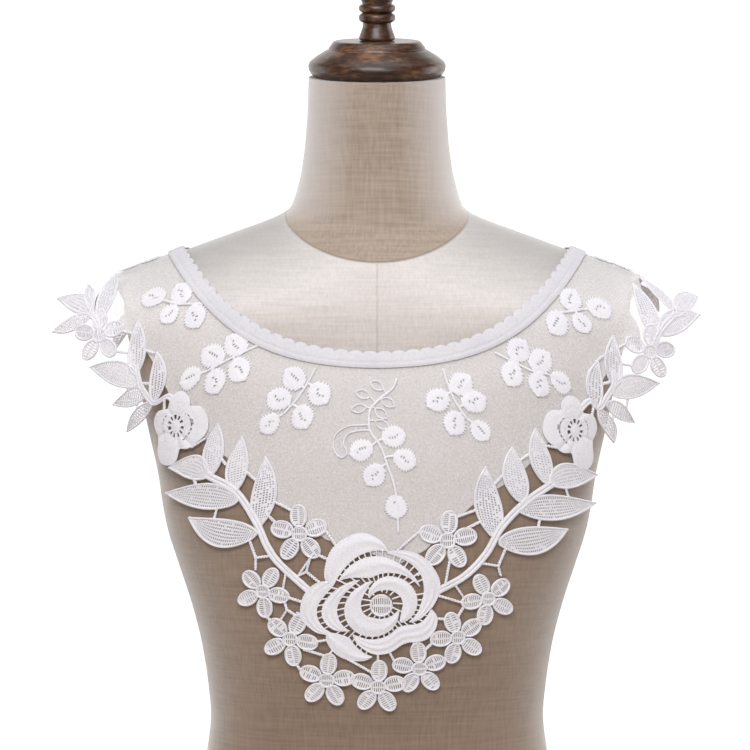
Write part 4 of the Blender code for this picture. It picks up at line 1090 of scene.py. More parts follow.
def finish_piece(name, mesh, node, look, smooth):
    mesh.materials.append(look)
    mesh.shade_smooth()
    mesh.set_sharp_from_angle(angle=math.radians(smooth))
    obj = bpy.data.objects.new(name, mesh)
    bpy.context.scene.collection.objects.link(obj)
    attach(obj, "root")
    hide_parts(node)
    return obj


def paced(path, step):
    """A path with its points at even steps."""
    path = np.asarray(path, float)
    way = np.concatenate([[0], np.cumsum(np.hypot(*np.diff(path, axis=0).T))])
    count = max(3, round(way[-1] / step))
    at = np.linspace(0, way[-1], count + 1)
    return np.stack([np.interp(at, way, path[:, k]) for k in (0, 1)], -1)


def asides(path, closed=False):
    """Unit steps to the left of a path."""
    if closed:
        along = np.roll(path, -1, axis=0) - np.roll(path, 1, axis=0)
    else:
        along = np.gradient(path, axis=0)
    along /= np.linalg.norm(along, axis=1, keepdims=True) + 1e-9
    return np.stack([-along[:, 1], along[:, 0]], -1)


def cord(weave, path, width, base, height, knot=0.0, step=CORD_STEP, closed=False, shift=0.0, taper=0.45):
    """A half-round cord along a path, its stitches shown as a swell and a dip in turn."""
    path = paced(path, step)
    if closed:
        path = path[:-1]
    aside = asides(path, closed)
    path = path + aside * shift
    swell = 1 + knot * np.where(np.arange(len(path)) % 2, 1, -1)
    if not closed:
        swell[[0, -1]] *= taper
    across = np.array(CORD_ACROSS)
    flat = path[:, None] + aside[:, None] * (across * width / 2)[None, :, None] * swell[:, None, None]
    top = base + height * np.array(CORD_HEIGHT)[None] * swell[:, None]
    weave.patch(flat, top, base, ring=closed)


def ladder(weave, middle, aside, half, pitch, rows, shares, solid, dense, draw):
    """A woven field about a middle line: threads run along it and across it, with holes between."""
    cells = 2 * rows + 1
    hole, thread = shares
    share = np.where(np.arange(cells) % 2, hole, thread)
    across = np.concatenate([[0], np.cumsum(share)]) / share.sum() * 2 - 1
    way = np.concatenate([[0], np.cumsum(np.hypot(*np.diff(middle, axis=0).T))])
    pitches = max(2, round(way[-1] / pitch))
    at = [0.0]
    for k in range(pitches):
        at += [(k + solid) / pitches, (k + 1) / pitches]
    at = np.array(at) * way[-1]
    line = np.stack([np.interp(at, way, middle[:, k]) for k in (0, 1)], -1)
    out = np.stack([np.interp(at, way, aside[:, k]) for k in (0, 1)], -1)
    wide = np.interp(at, way, half)
    flat = line[:, None] + out[:, None] * (across[None] * wide[:, None])[..., None]
    keep = np.ones((len(at) - 1, cells), bool)
    across_size = np.diff(across)[None] * (wide[:-1] + wide[1:])[:, None] / 2
    open_cell = (np.arange(len(at) - 1) % 2 == 1)[:, None] & (np.arange(cells) % 2 == 1)[None]
    open_cell &= across_size > SMALLEST_HOLE
    fade = np.linspace(1.15, 0.55, cells)[None]
    keep[open_cell & (draw.random(keep.shape) < dense * fade ** (2 - 2 * dense))] = False
    weave.patch(flat, LACE_LOW + FIELD_HEIGHT, LACE_LOW, keep)


def lace_leaf(weave, row, draw, dense, pitch=LEAF_PITCH, width=LEAF_CORD):
    """A leaf: a woven field inside a satin cord."""
    base_u, base_v, tip_u, tip_v, wide, bend = row
    flat_leaf(weave, spot((base_u, base_v)), spot((tip_u, tip_v)), wide, bend, draw, dense, pitch, width)


def flat_leaf(weave, base, tip, wide, bend, draw, dense, pitch, width):
    base, tip = np.asarray(base, float), np.asarray(tip, float)
    along = tip - base
    aside = np.array([-along[1], along[0]]) / np.linalg.norm(along)
    t = np.linspace(0.02, 1, LEAF_POINTS)
    middle = base + along * t[:, None] + aside * (bend * 4 * t * (1 - t))[:, None]
    half = np.maximum(wide / 2 * np.sin(math.pi * t ** 0.80) ** 0.85, 0.0)
    inside = np.maximum(half - width * 0.6, 0.02)
    rows = max(2, round((wide - 2 * width) / LEAF_ROW))
    side = np.broadcast_to(aside, middle.shape)
    solid, dense = (LEAF_THREAD, dense) if dense > 0.6 else (FINE_THREAD, FINE_DENSE)
    ladder(weave, middle, side, inside, pitch, rows, LEAF_SHARES, solid, dense, draw)
    edge = np.maximum(half - width / 2, 0.0)[:, None]
    loop = np.concatenate([middle + aside * edge, (middle - aside * edge)[-2:0:-1]])
    loop = np.concatenate([loop, loop[:1]])
    cord(weave, loop, width, LACE_LOW, LACE_HEIGHT, SATIN_SWELL, closed=True)


def lace_petal(weave, centre, heading, reach, draw, dense=PETAL_DENSE, width=PETAL_CORD):
    """A small flower's petal: a woven field inside a satin cord."""
    angle = np.linspace(0, math.tau, 33)
    out = reach * (PETAL_MIDDLE + (1 - PETAL_MIDDLE) * np.cos(angle))
    side = reach * PETAL_WIDTH / 2 * np.sin(angle)
    trim = width / 2
    scale_out = 1 - trim / (reach * (1 - PETAL_MIDDLE))
    scale_side = 1 - trim / (reach * PETAL_WIDTH / 2)
    middle_out = reach * PETAL_MIDDLE
    loop = turned(centre, middle_out + (out - middle_out) * scale_out, side * scale_side, heading)
    cord(weave, loop, width, LACE_LOW, LACE_HEIGHT, SATIN_SWELL, closed=True)
    t = np.linspace(-0.93, 0.93, 15)
    line = turned(centre, middle_out + t * reach * (1 - PETAL_MIDDLE) * scale_out, 0 * t, heading)
    up = turned(centre, middle_out + 0 * t, 1 + 0 * t, heading) - turned(centre, middle_out + 0 * t, 0 * t, heading)
    half = reach * PETAL_WIDTH / 2 * scale_side * np.sqrt(1 - t ** 2)
    ladder(weave, line, up, half, PETAL_PITCH, 2, PETAL_SHARES, PETAL_THREAD, dense, draw)


def turned(centre, out, side, heading):
    """Places at a distance out along a heading, and to its side."""
    aside = out * math.cos(heading) - side * math.sin(heading)
    above = out * math.sin(heading) + side * math.cos(heading)
    return beside(centre, aside, above)


def lace_disc(weave, centre, radius, draw, width=PETAL_CORD, dense=1.0):
    """A flower's middle: a woven field inside a ring of cord."""
    angle = np.linspace(0, math.tau, 25)
    loop = around(centre, radius - width / 2, angle)
    cord(weave, loop, width, LACE_LOW, LACE_HEIGHT, SATIN_SWELL, closed=True)
    t = np.linspace(-0.9, 0.9, 11)
    line = beside(centre, t * radius, 0 * t)
    up = beside(centre, 0 * t, 1 + 0 * t) - beside(centre, 0 * t, 0 * t)
    half = (radius - width / 2) * np.sqrt(1 - t ** 2)
    ladder(weave, line, up, half, PETAL_PITCH, 2, PETAL_SHARES, PETAL_THREAD, dense, draw)


def lace_flower(weave, centre, turn, reach, draw):
    for k in range(5):
        lace_petal(weave, centre, math.radians(turn + 72 * k), reach, draw)
    lace_disc(weave, centre, reach * FLOWER_DISC, draw)


def lace_stem(weave, places, width):
    """Two cords side by side."""
    path = smooth_path([spot(place) for place in places], 6)
    for side in (-1, 1):
        cord(weave, path, width / 2 + 0.3, LACE_LOW, LACE_HEIGHT, SATIN_SWELL, shift=side * width / 4)


def inside(loop, points):
    """Which of some points lie inside a closed outline."""
    within = np.zeros(len(points), bool)
    x, y = points[:, 0], points[:, 1]
    for (ax, ay), (bx, by) in zip(loop, np.roll(loop, -1, axis=0)):
        crosses = (ay > y) != (by > y)
        if crosses.any():
            at = ax + (bx - ax) * (y - ay) / (by - ay if by != ay else 1e-9)
            within ^= crosses & (x < at)
    return within


def all_motifs():
    """The outlines of everything that a bar can end at."""
    centre = spot(ROSE_PLACE)
    made = []
    for rows in ROSE_ROWS.values():
        angle, inner, outer = polar_edges(rows)
        made.append(np.concatenate([around(centre, outer, angle), around(centre, inner, angle)[::-1]]))
    for side in ("left", "right"):
        made += [seen_leaf(row) for row in (*SPRAY_LEAVES[side], *SIDE_LEAVES[side], *SHOULDER_LEAVES[side])]
        made += [seen_stem(SPRAY_STEMS[side], STEM_WIDTH), seen_stem(SIDE_STEMS[side], SIDE_STEM_WIDTH)]
        made += seen_flower(UPPER_FLOWERS[side]) + seen_flower(SHOULDER_FLOWERS[side])
        made.append(side_outline(side))
    for row in LOWER_FLOWERS:
        made += seen_flower(row)
    return made


def side_outline(side):
    angle, radius = side_edge(side)
    return around(spot(SIDE_ROSE_PLACES[side]), radius, angle)


def side_edge(side):
    """The side rose's outer edge, as even angles and their radii."""
    angle = np.linspace(0, math.tau, SIDE_STEPS, endpoint=False)
    degrees = np.degrees(angle if side == "left" else math.pi - angle)
    rows = smooth_path(SIDE_ROWS, 6)
    degrees = (degrees - rows[0, 0]) % 360 + rows[0, 0]
    return angle, np.interp(degrees, rows[:, 0], rows[:, 1])


def lace_bar(weave, start, end, motifs, width=BAR_CORD):
    """A short twisted cord across the open between two motifs, tucked a little under both."""
    start, end = np.asarray(start, float), np.asarray(end, float)
    line = start + (end - start) * np.linspace(0, 1, BAR_SAMPLES)[:, None]
    covered = np.zeros(len(line), bool)
    for loop in motifs:
        covered |= inside(loop, line)
    runs, here = [], []
    for k in np.flatnonzero(~covered):
        if here and k != here[-1] + 1:
            runs.append(here)
            here = []
        here.append(k)
    longest = max([*runs, here], key=len)
    if len(longest) < 4:
        return
    along = (end - start) / np.hypot(*(end - start))
    path = np.array([line[longest[0]] - along * BAR_TUCK, line[longest[-1]] + along * BAR_TUCK])
    cord(weave, path, width, LACE_LOW + 0.1, BAR_HEIGHT, BAR_KNOT, step=BAR_STEP, taper=0.8)


def seen_bars(weave, rows):
    for u0, v0, u1, v1 in rows:
        lace_bar(weave, spot((u0, v0)), spot((u1, v1)), MOTIFS)


def satin(weave, inner, outer, folds, teeth, relief, low=LACE_LOW):
    """A satin petal between two edges: stitches run across it, and its surface folds along it."""
    middle = (inner + outer) / 2
    length = np.sum(np.hypot(*np.diff(middle, axis=0).T))
    count = 2 * round(length / (2 * SATIN_STEP))
    way = np.concatenate([[0], np.cumsum(np.hypot(*np.diff(middle, axis=0).T))])
    at = np.linspace(0, way[-1], count + 1)
    inner, outer = (np.stack([np.interp(at, way, edge[:, k]) for k in (0, 1)], -1) for edge in (inner, outer))
    b = np.linspace(-1, 1, SATIN_ACROSS)
    grid = (inner[:, None] * (1 - b)[None, :, None] + outer[:, None] * (1 + b)[None, :, None]) / 2
    across = outer - inner
    wide = np.linalg.norm(across, axis=1, keepdims=True)
    tooth = np.where(np.arange(count + 1) % 2, teeth, 0.0)[:, None] * np.minimum(1, wide / 6)
    grid[:, -1] += across / (wide + 1e-9) * tooth
    dome = (1 - np.abs(b - SATIN_CREST) / (1 + SATIN_CREST)) ** 0.5
    wave = 0.5 + 0.5 * np.cos(math.pi * folds * (b - SATIN_CREST) * 1.3)
    profile = SATIN_EDGE + (1 - SATIN_EDGE) * dome * (1 - FOLD_DEPTH + FOLD_DEPTH * wave)
    body = np.minimum(1, wide / SATIN_FULL_WIDTH) ** 0.5
    stitch = np.where(np.arange(count + 1) % 2, SATIN_STITCH, -SATIN_STITCH)[:, None]
    top = low + 0.25 + relief * profile[None] * body + stitch * (1 - np.abs(b[None]) ** 6)
    weave.patch(grid, top, low)


def polar_edges(rows):
    """A petal's rows made into smooth, finely stepped angles with both radii."""
    line = smooth_path(rows, 8)
    return np.radians(line[:, 0]), line[:, 1] * ROSE_NEARER, line[:, 2] * ROSE_NEARER


def rungs(weave, centre, petals):
    """Short cords across each gap between a petal and the next one towards the middle."""
    for name, (angle, inner, outer) in petals.items():
        middle = float(np.mean(inner))
        turns = abs(angle[-1] - angle[0])
        for here in np.linspace(min(angle[0], angle[-1]), max(angle[0], angle[-1]),
                                max(2, round(turns * middle / RUNG_PITCH)))[1:-1]:
            order = np.argsort(angle)
            start = float(np.interp(here, angle[order], inner[order]))
            nearest = ROSE_MIDDLE[2]
            for other, (turn, low, high) in petals.items():
                if other == name:
                    continue
                order = np.argsort(turn)
                for shift in (-math.tau, 0, math.tau):
                    if turn[order[0]] < here + shift < turn[order[-1]]:
                        edge = float(np.interp(here + shift, turn[order], high[order]))
                        if nearest < edge < start:
                            nearest = edge
            if RUNG_GAPS[0] < start - nearest < RUNG_GAPS[1]:
                path = around(centre, np.array([nearest - RUNG_TUCK, start + RUNG_TUCK]), here)
                cord(weave, path, RUNG_WIDTH, LACE_LOW, RUNG_HEIGHT, step=1.2, taper=1.0)


def sprig_blade(weave, centre, direction, size, draw):
    """An embroidered leaf: satin stitches from the midrib out to a toothed edge."""
    length, width = size
    angle = math.radians(direction)
    base = around(centre, -length * 0.56, angle)
    tip = around(centre, length * 0.53, angle)
    along = tip - base
    aside = np.array([-along[1], along[0]]) / np.linalg.norm(along)
    count = 2 * round(length / BLADE_STEP)
    t = np.linspace(0.03, 0.995, count + 1)
    half = width / 2 * np.sin(math.pi * t ** 0.84) ** (0.62 + 0.45 * t)
    tooth = np.where(np.arange(count + 1) % 2, BLADE_TOOTH, 0.0) * np.minimum(1, half / 2)
    b = np.linspace(-1, 1, 9)
    lean = np.abs(b)[None] * half[:, None] * BLADE_LEAN
    flat = (base + along * t[:, None])[:, None] + along / np.linalg.norm(along) * lean[..., None]
    flat = flat + aside * (b[None] * half[:, None] + np.sign(b)[None] * (np.abs(b) == 1)[None] * tooth[:, None])[..., None]
    dome = np.sqrt(1 - 0.75 * b ** 2) - 0.35 * (np.abs(b) < 0.1)
    stitch = np.where(np.arange(count + 1) % 2, SATIN_STITCH, -SATIN_STITCH)
    top = SPRIG_LOW + SPRIG_HEIGHT * dome[None] + stitch[:, None] * (np.abs(b) > 0.1)[None]
    keep = np.ones((count, 8), bool)
    first = round(count * 0.30)
    for k in range(4):
        keep[first + 2 * k, 3 + draw.integers(0, 2)] = False
    weave.patch(flat, top, SPRIG_LOW, keep)


def thin_line(weave, path, width=SPRIG_STEM, closed=False):
    cord(weave, path, width, SPRIG_LOW, SPRIG_CORD_HEIGHT, 0.06, step=0.9, closed=closed)


# Materials

def node_material(name, roughness, sheen=0.0, sheen_roughness=0.5):
    made = bpy.data.materials.new(name)
    made.use_nodes = True
    tree = made.node_tree
    shader = tree.nodes["Principled BSDF"]
    shader.inputs["Roughness"].default_value = roughness
    shader.inputs["Sheen Weight"].default_value = sheen
    shader.inputs["Sheen Roughness"].default_value = sheen_roughness
    return made, tree, shader


def add(tree, kind, **values):
    """A node with some of its inputs and properties set."""
    made = tree.nodes.new(kind)
    for key, value in values.items():
        if key in made.inputs:
            made.inputs[key].default_value = value
        else:
            setattr(made, key, value)
    return made


def join(tree, source, output, target, socket):
    tree.links.new(source.outputs[output], target.inputs[socket])


def noise(tree, coords, scale, detail=3.0, stretch=(1, 1, 1)):
    mapping = add(tree, "ShaderNodeMapping")
    mapping.inputs["Scale"].default_value = stretch
    join(tree, coords, "Object", mapping, "Vector")
    made = add(tree, "ShaderNodeTexNoise", Scale=scale, Detail=detail)
    join(tree, mapping, "Vector", made, "Vector")
    return made


def ramp(tree, source, output, stops):
    """A colour ramp fed by one output; stops are (place, colour) pairs."""
    made = tree.nodes.new("ShaderNodeValToRGB")
    while len(made.color_ramp.elements) < len(stops):
        made.color_ramp.elements.new(0.5)
    for element, (place, colour) in zip(made.color_ramp.elements, stops):
        element.position = place
        element.color = (*colour, 1)
    join(tree, source, output, made, "Fac")
    return made


def maths(tree, operation, first, second=None):
    """A maths node; each input is a number or a (node, output) pair."""
    made = tree.nodes.new("ShaderNodeMath")
    made.operation = operation
    for k, value in enumerate((first, second)):
        if isinstance(value, tuple):
            tree.links.new(value[0].outputs[value[1]], made.inputs[k])
        elif value is not None:
            made.inputs[k].default_value = value
    return made


def mixed(tree, factor, first, second, blend="MIX"):
    """A colour mix; the factor is a pair or a number, and each colour a pair or a colour."""
    made = add(tree, "ShaderNodeMix", data_type="RGBA", blend_type=blend)
    for socket, value in ((0, factor), (6, first), (7, second)):
        if isinstance(value, tuple) and hasattr(value[0], "outputs"):
            tree.links.new(value[0].outputs[value[1]], made.inputs[socket])
        elif socket == 0:
            made.inputs[socket].default_value = value
        else:
            made.inputs[socket].default_value = (*value, 1)
    return made


def bump(tree, shader, source, output, strength, distance, after=None):
    made = add(tree, "ShaderNodeBump", Strength=strength, Distance=distance)
    tree.links.new(source.outputs[output], made.inputs["Height"])
    if after:
        join(tree, after, "Normal", made, "Normal")
    join(tree, made, "Normal", shader, "Normal")
    return made


def weave_height(tree, coords, threads):
    """Warp and weft as two bands of waves, across the cloth and up it."""
    bands = []
    for direction in ("X", "Z"):
        wave = add(tree, "ShaderNodeTexWave", Scale=threads, Distortion=2.5, Detail=2.0)
        wave.inputs["Detail Scale"].default_value = 1.5
        wave.bands_direction = direction
        join(tree, coords, "Object", wave, "Vector")
        bands.append(wave)
    return maths(tree, "ADD", (bands[0], "Fac"), (bands[1], "Fac"))


def linen_look():
    """Unbleached linen: plain weave with thick and thin threads, and sewn seams, with painted light: brighter on
    the neck, with a painted rim light at its sides, and paler and greyer where it faces up on the chest.
    """
    made, tree, shader = node_material("linen_cover", 0.95, 1.0, 0.5)
    coords = add(tree, "ShaderNodeTexCoord")
    level = noise(tree, coords, 260, 2, (0.12, 0.12, 2.2))
    upright = noise(tree, coords, 260, 2, (2.2, 2.2, 0.12))
    patchy = noise(tree, coords, 7, 2)
    slubs = maths(tree, "ADD", (level, "Fac"), (upright, "Fac"))
    slubs = maths(tree, "MULTIPLY", (slubs, 0), 0.5)
    tone = ramp(tree, slubs, 0, ((0.30, LINEN_DARK), (0.52, LINEN_MIDDLE), (0.72, LINEN_LIGHT)))
    broad = ramp(tree, patchy, "Fac", ((0.35, (0.90, 0.88, 0.86)), (0.65, (1.0, 1.0, 1.0))))
    colour = mixed(tree, 1.0, (tone, "Color"), (broad, "Color"), "MULTIPLY")
    seam, below = seam_mask(tree, coords)
    above = maths(tree, "SUBTRACT", 1.0, (below, 0))
    # Painted light: the neck's colour made brighter above the neck seam
    colour = mixed(tree, (above, 0), (colour, 2), NECK_PAINTED_LIGHT_GAIN, "MULTIPLY")
    facing = add(tree, "ShaderNodeSeparateXYZ")
    join(tree, add(tree, "ShaderNodeNewGeometry"), "Normal", facing, "Vector")
    sideways = maths(tree, "ABSOLUTE", (facing, "X"), 0.0)
    # Painted rim light: the neck's sides paler where they face sideways
    edge = ramp(tree, sideways, 0, NECK_PAINTED_RIM_RAMP)
    edge = maths(tree, "MULTIPLY", (edge, "Color"), (above, 0))
    colour = mixed(tree, (edge, 0), (colour, 2), NECK_PAINTED_RIM_COLOUR)
    # Painted light: paler where the cloth faces up, below the neck seam and from a given height upwards
    painted_light_share = ramp(tree, facing, "Z", LINEN_PAINTED_LIGHT_RAMP)
    upright = add(tree, "ShaderNodeSeparateXYZ")
    join(tree, coords, "Object", upright, "Vector")
    # The height from which the painted light fades in
    high = add(tree, "ShaderNodeMapRange")
    join(tree, upright, "Z", high, "Value")
    high.inputs["From Min"].default_value, high.inputs["From Max"].default_value = LINEN_PAINTED_LIGHT_HEIGHTS
    painted_light_share = maths(tree, "MULTIPLY", (painted_light_share, "Color"), (below, 0))
    painted_light_share = maths(tree, "MULTIPLY", (painted_light_share, 0), (high, "Result"))
    # The painted light's tone, greyer where the cloth faces further up, with the threads' slubs in it
    painted_light_tone = ramp(tree, facing, "Z", LINEN_PAINTED_LIGHT_TONE)
    grain = maths(tree, "ADD", (maths(tree, "MULTIPLY", (slubs, 0), 0.5), 0), 0.75)
    painted_light_tone = mixed(tree, 1.0, (painted_light_tone, "Color"), (grain, 0), "MULTIPLY")
    colour = mixed(tree, (painted_light_share, 0), (colour, 2), (painted_light_tone, 2))
    colour = mixed(tree, (seam, 0), (colour, 2), SEAM_COLOUR)
    join(tree, colour, 2, shader, "Base Color")
    threads = weave_height(tree, coords, LINEN_THREADS)
    lifted = maths(tree, "ADD", (threads, 0), (slubs, 0))
    first = bump(tree, shader, lifted, 0, 0.35, 0.0004)
    groove = maths(tree, "MULTIPLY", (seam, 0), -1.0)
    bump(tree, shader, groove, 0, 0.8, 0.0008, after=first)
    return made


def seam_mask(tree, coords):
    """One on the seams, at the centre front and back and where the neck joins, and nought elsewhere."""
    split = add(tree, "ShaderNodeSeparateXYZ")
    join(tree, coords, "Object", split, "Vector")
    off = maths(tree, "ABSOLUTE", (maths(tree, "SUBTRACT", (split, "X"), ORIGIN[0] * MM), 0))
    lean = maths(tree, "MULTIPLY", (maths(tree, "SUBTRACT", (split, "Y"), ORIGIN[1] * MM), 0), -SEAM_LEAN)
    height = maths(tree, "ADD", (split, "Z"), (lean, 0))
    rise = maths(tree, "MULTIPLY", (maths(tree, "MULTIPLY", (off, 0), (off, 0)), 0), SEAM_RISE)
    height = maths(tree, "SUBTRACT", (height, 0), (rise, 0))
    over = maths(tree, "SUBTRACT", (height, 0), (ORIGIN[2] + SEAM_HEIGHT) * MM)
    neck = maths(tree, "ABSOLUTE", (over, 0))
    below = maths(tree, "LESS_THAN", (over, 0), 0.0)
    lines = []
    for distance in (off, neck):
        fall = maths(tree, "DIVIDE", (distance, 0), SEAM_WIDTH * MM)
        lines.append(maths(tree, "SUBTRACT", 1.0, (fall, 0)))
    for line in lines:
        line.use_clamp = True
    middle = maths(tree, "MULTIPLY", (lines[0], 0), (below, 0))
    middle = maths(tree, "MULTIPLY", (middle, 0), SEAM_SHARES[0])
    across = maths(tree, "MULTIPLY", (lines[1], 0), SEAM_SHARES[1])
    return maths(tree, "MAXIMUM", (middle, 0), (across, 0)), below


def cotton_look(name, colour, shade, scale):
    """Cotton thread: cool white, matt, with fine twisted relief, and a darker mottling that is painted shade
    between the stitches.
    """
    made, tree, shader = node_material(name, 0.72, 0.25, 0.4)
    coords = add(tree, "ShaderNodeTexCoord")
    fine = noise(tree, coords, scale, 4)
    broad = noise(tree, coords, 40, 2)
    # The darker stop is painted shade between the stitches, spread by fine noise
    tone = ramp(tree, fine, "Fac", ((0.32, shade), (0.60, colour)))
    wash = ramp(tree, broad, "Fac", ((0.30, (0.94, 0.94, 0.96)), (0.70, (1.0, 1.0, 1.0))))
    whole = mixed(tree, 1.0, (tone, "Color"), (wash, "Color"), "MULTIPLY")
    join(tree, whole, 2, shader, "Base Color")
    twist = add(tree, "ShaderNodeTexWave", Scale=TWIST_SCALE, Distortion=6.0, Detail=2.0)
    twist.bands_direction = "DIAGONAL"
    join(tree, coords, "Object", twist, "Vector")
    lifted = maths(tree, "ADD", (fine, "Fac"), (twist, "Fac"))
    bump(tree, shader, lifted, 0, 0.35, 0.0003)
    return made


def net_look():
    """Fine net: see-through between its threads, hazier in places."""
    made, tree, shader = node_material("fine_net", 0.8, 0.3, 0.5)
    shader.inputs["Base Color"].default_value = (*NET_COLOUR, 1)
    coords = add(tree, "ShaderNodeTexCoord")
    cells = add(tree, "ShaderNodeTexVoronoi", feature="DISTANCE_TO_EDGE", Scale=NET_CELLS)
    join(tree, coords, "Object", cells, "Vector")
    thread = ramp(tree, cells, "Distance", ((0.02, (1, 1, 1)), (0.16, (0, 0, 0))))
    haze = noise(tree, coords, 620, 3)
    cloud = ramp(tree, haze, "Fac", ((0.22, (0.0, 0.0, 0.0)), (0.78, (1, 1, 1))))
    amount = mixed(tree, 0.45, (thread, "Color"), (cloud, "Color"))
    cover = add(tree, "ShaderNodeMapRange")
    tree.links.new(amount.outputs[2], cover.inputs["Value"])
    cover.inputs["To Min"].default_value = NET_COVER[0]
    cover.inputs["To Max"].default_value = NET_COVER[1]
    join(tree, cover, "Result", shader, "Alpha")
    bump(tree, shader, amount, 2, 0.2, 0.0002)
    return made


def walnut_look():
    """Dark turned walnut under a thin varnish, with paler patches and fine grain."""
    made, tree, shader = node_material("walnut", 0.33)
    shader.inputs["Specular IOR Level"].default_value = 0.35
    shader.inputs["Coat Weight"].default_value = 0.35
    shader.inputs["Coat Roughness"].default_value = 0.30
    coords = add(tree, "ShaderNodeTexCoord")
    patch = noise(tree, coords, 34, 3, (1.0, 1.0, 2.2))
    grain = noise(tree, coords, 150, 5, (1.0, 1.0, 3.5))
    both = maths(tree, "MULTIPLY", (maths(tree, "ADD", (grain, "Fac"), (patch, "Fac")), 0), 0.5)
    tone = ramp(tree, both, 0, ((0.38, WALNUT_DARK), (0.52, WALNUT_MIDDLE), (0.66, WALNUT_LIGHT)))
    join(tree, tone, "Color", shader, "Base Color")
    bump(tree, shader, both, 0, 0.12, 0.0003)
    return made


# The form and its turned wood

def make_form(look):
    """The torso and neck, lofted through many more sections than the frame's own."""
    heights = np.concatenate([np.linspace(FORM_BOTTOM, -100, 90), np.linspace(-98, 6, 53)])
    rings = [body_ring(float(z)) for z in heights]
    neck = np.array([[row[k] for row in NECK] for k in range(5)], float)
    for z in np.linspace(NECK_RINGS[0], NECK_RINGS[-1], 26):
        rings.append(neck_ring(float(z)))
    points = (np.array(rings).reshape(-1, 3) + ORIGIN) * MM
    n, m = len(rings), RING_POINTS
    index = np.arange(n * m).reshape(n, m)
    ahead = np.roll(index, -1, axis=1)
    quads = np.stack([index[:-1], ahead[:-1], ahead[1:], index[1:]], -1).reshape(-1, 4).tolist()
    quads += [index[0, ::-1].tolist(), index[-1].tolist()]
    mesh = bpy.data.meshes.new("linen_form")
    mesh.from_pydata(points.tolist(), [], quads)
    return finish_piece("linen_form", mesh, "dress_form", look, 40)


def make_turned(name, node, profile, look):
    """A turned piece: its profile rounded between the corners and spun about the leaning neck."""
    line = np.array(profile, float)
    fine = [line[0]]
    for a, b in zip(line, line[1:]):
        pieces = max(1, round(np.hypot(*(b - a)) / TURNED_STEP))
        fine += [a + (b - a) * k / pieces for k in range(1, pieces + 1)]
    fine = np.array(fine)
    for _ in range(TURNED_SMOOTHING):
        fine[1:-1] = fine[1:-1] * 0.5 + (fine[:-2] + fine[2:]) * 0.25
        fine[0, 0] = fine[-1, 0] = 0
    fine = fine[1:-1]
    turn = np.linspace(0, math.tau, TURNED_SIDES, endpoint=False)
    _, _, middle, lean = neck_at(NECK_RINGS[-1])
    lean = math.radians(lean)
    x = fine[:, :1] * np.cos(turn)
    y = fine[:, :1] * np.sin(turn)
    z = np.broadcast_to(fine[:, 1:], x.shape)
    points = np.stack([x, middle + y * math.cos(lean) - z * math.sin(lean),
                       NECK_RINGS[-1] + y * math.sin(lean) + z * math.cos(lean)], -1)
    n, m = x.shape
    index = np.arange(n * m).reshape(n, m)
    ahead = np.roll(index, -1, axis=1)
    quads = np.stack([index[:-1], ahead[:-1], ahead[1:], index[1:]], -1).reshape(-1, 4).tolist()
    quads += [index[0, ::-1].tolist(), index[-1].tolist()]
    mesh = bpy.data.meshes.new(name)
    mesh.from_pydata(((points.reshape(-1, 3) + ORIGIN) * MM).tolist(), [], quads)
    made = bmesh.new()
    made.from_mesh(mesh)
    bmesh.ops.recalc_face_normals(made, faces=made.faces)
    made.to_mesh(mesh)
    made.free()
    return finish_piece(name, mesh, node, look, 35)


# The lace, node by node

def rose_piece(look, draw):
    weave = Weave()
    centre = spot(ROSE_PLACE)
    aside, above, radius = ROSE_MIDDLE
    lace_disc(weave, beside(centre, aside, above), radius, draw)
    petals = {name: polar_edges(rows) for name, rows in ROSE_ROWS.items()}
    for name, (angle, inner, outer) in petals.items():
        satin(weave, around(centre, inner, angle), around(centre, outer, angle), ROSE_FOLDS[name],
              ROSE_TEETH, ROSE_RELIEF)
    rungs(weave, centre, petals)
    seen_bars(weave, ROSE_BARS)
    weave.make("cord_rose", "lace_rose", look)


def spray_piece(side, look, draw):
    weave = Weave()
    for row, dense in zip(SPRAY_LEAVES[side], LEAF_HOLES):
        lace_leaf(weave, row, draw, dense)
    lace_stem(weave, SPRAY_STEMS[side], STEM_WIDTH)
    seen_bars(weave, SPRAY_BARS[side])
    weave.make(f"cord_spray_{side}", f"lace_spray_{side}", look)


def flower_piece(name, node, rows, bars, look, draw):
    weave = Weave()
    for u, v, turn, reach in rows:
        lace_flower(weave, spot((u, v)), turn, reach, draw)
    seen_bars(weave, bars)
    weave.make(name, node, look)


def side_piece(side, look, draw):
    weave = Weave()
    centre = spot(SIDE_ROSE_PLACES[side])
    side_rose(weave, centre, side)
    lace_stem(weave, SIDE_STEMS[side], SIDE_STEM_WIDTH)
    for row in SIDE_LEAVES[side]:
        lace_leaf(weave, row, draw, SIDE_HOLES)
    seen_bars(weave, SIDE_BARS[side])
    weave.make(f"cord_side_{side}", f"lace_side_{side}", look)


def oval(centre, share, angle, half):
    """Places round an oval, at a share of its half width and half height."""
    return beside(centre, half[0] * share * np.cos(angle), half[1] * share * np.sin(angle))


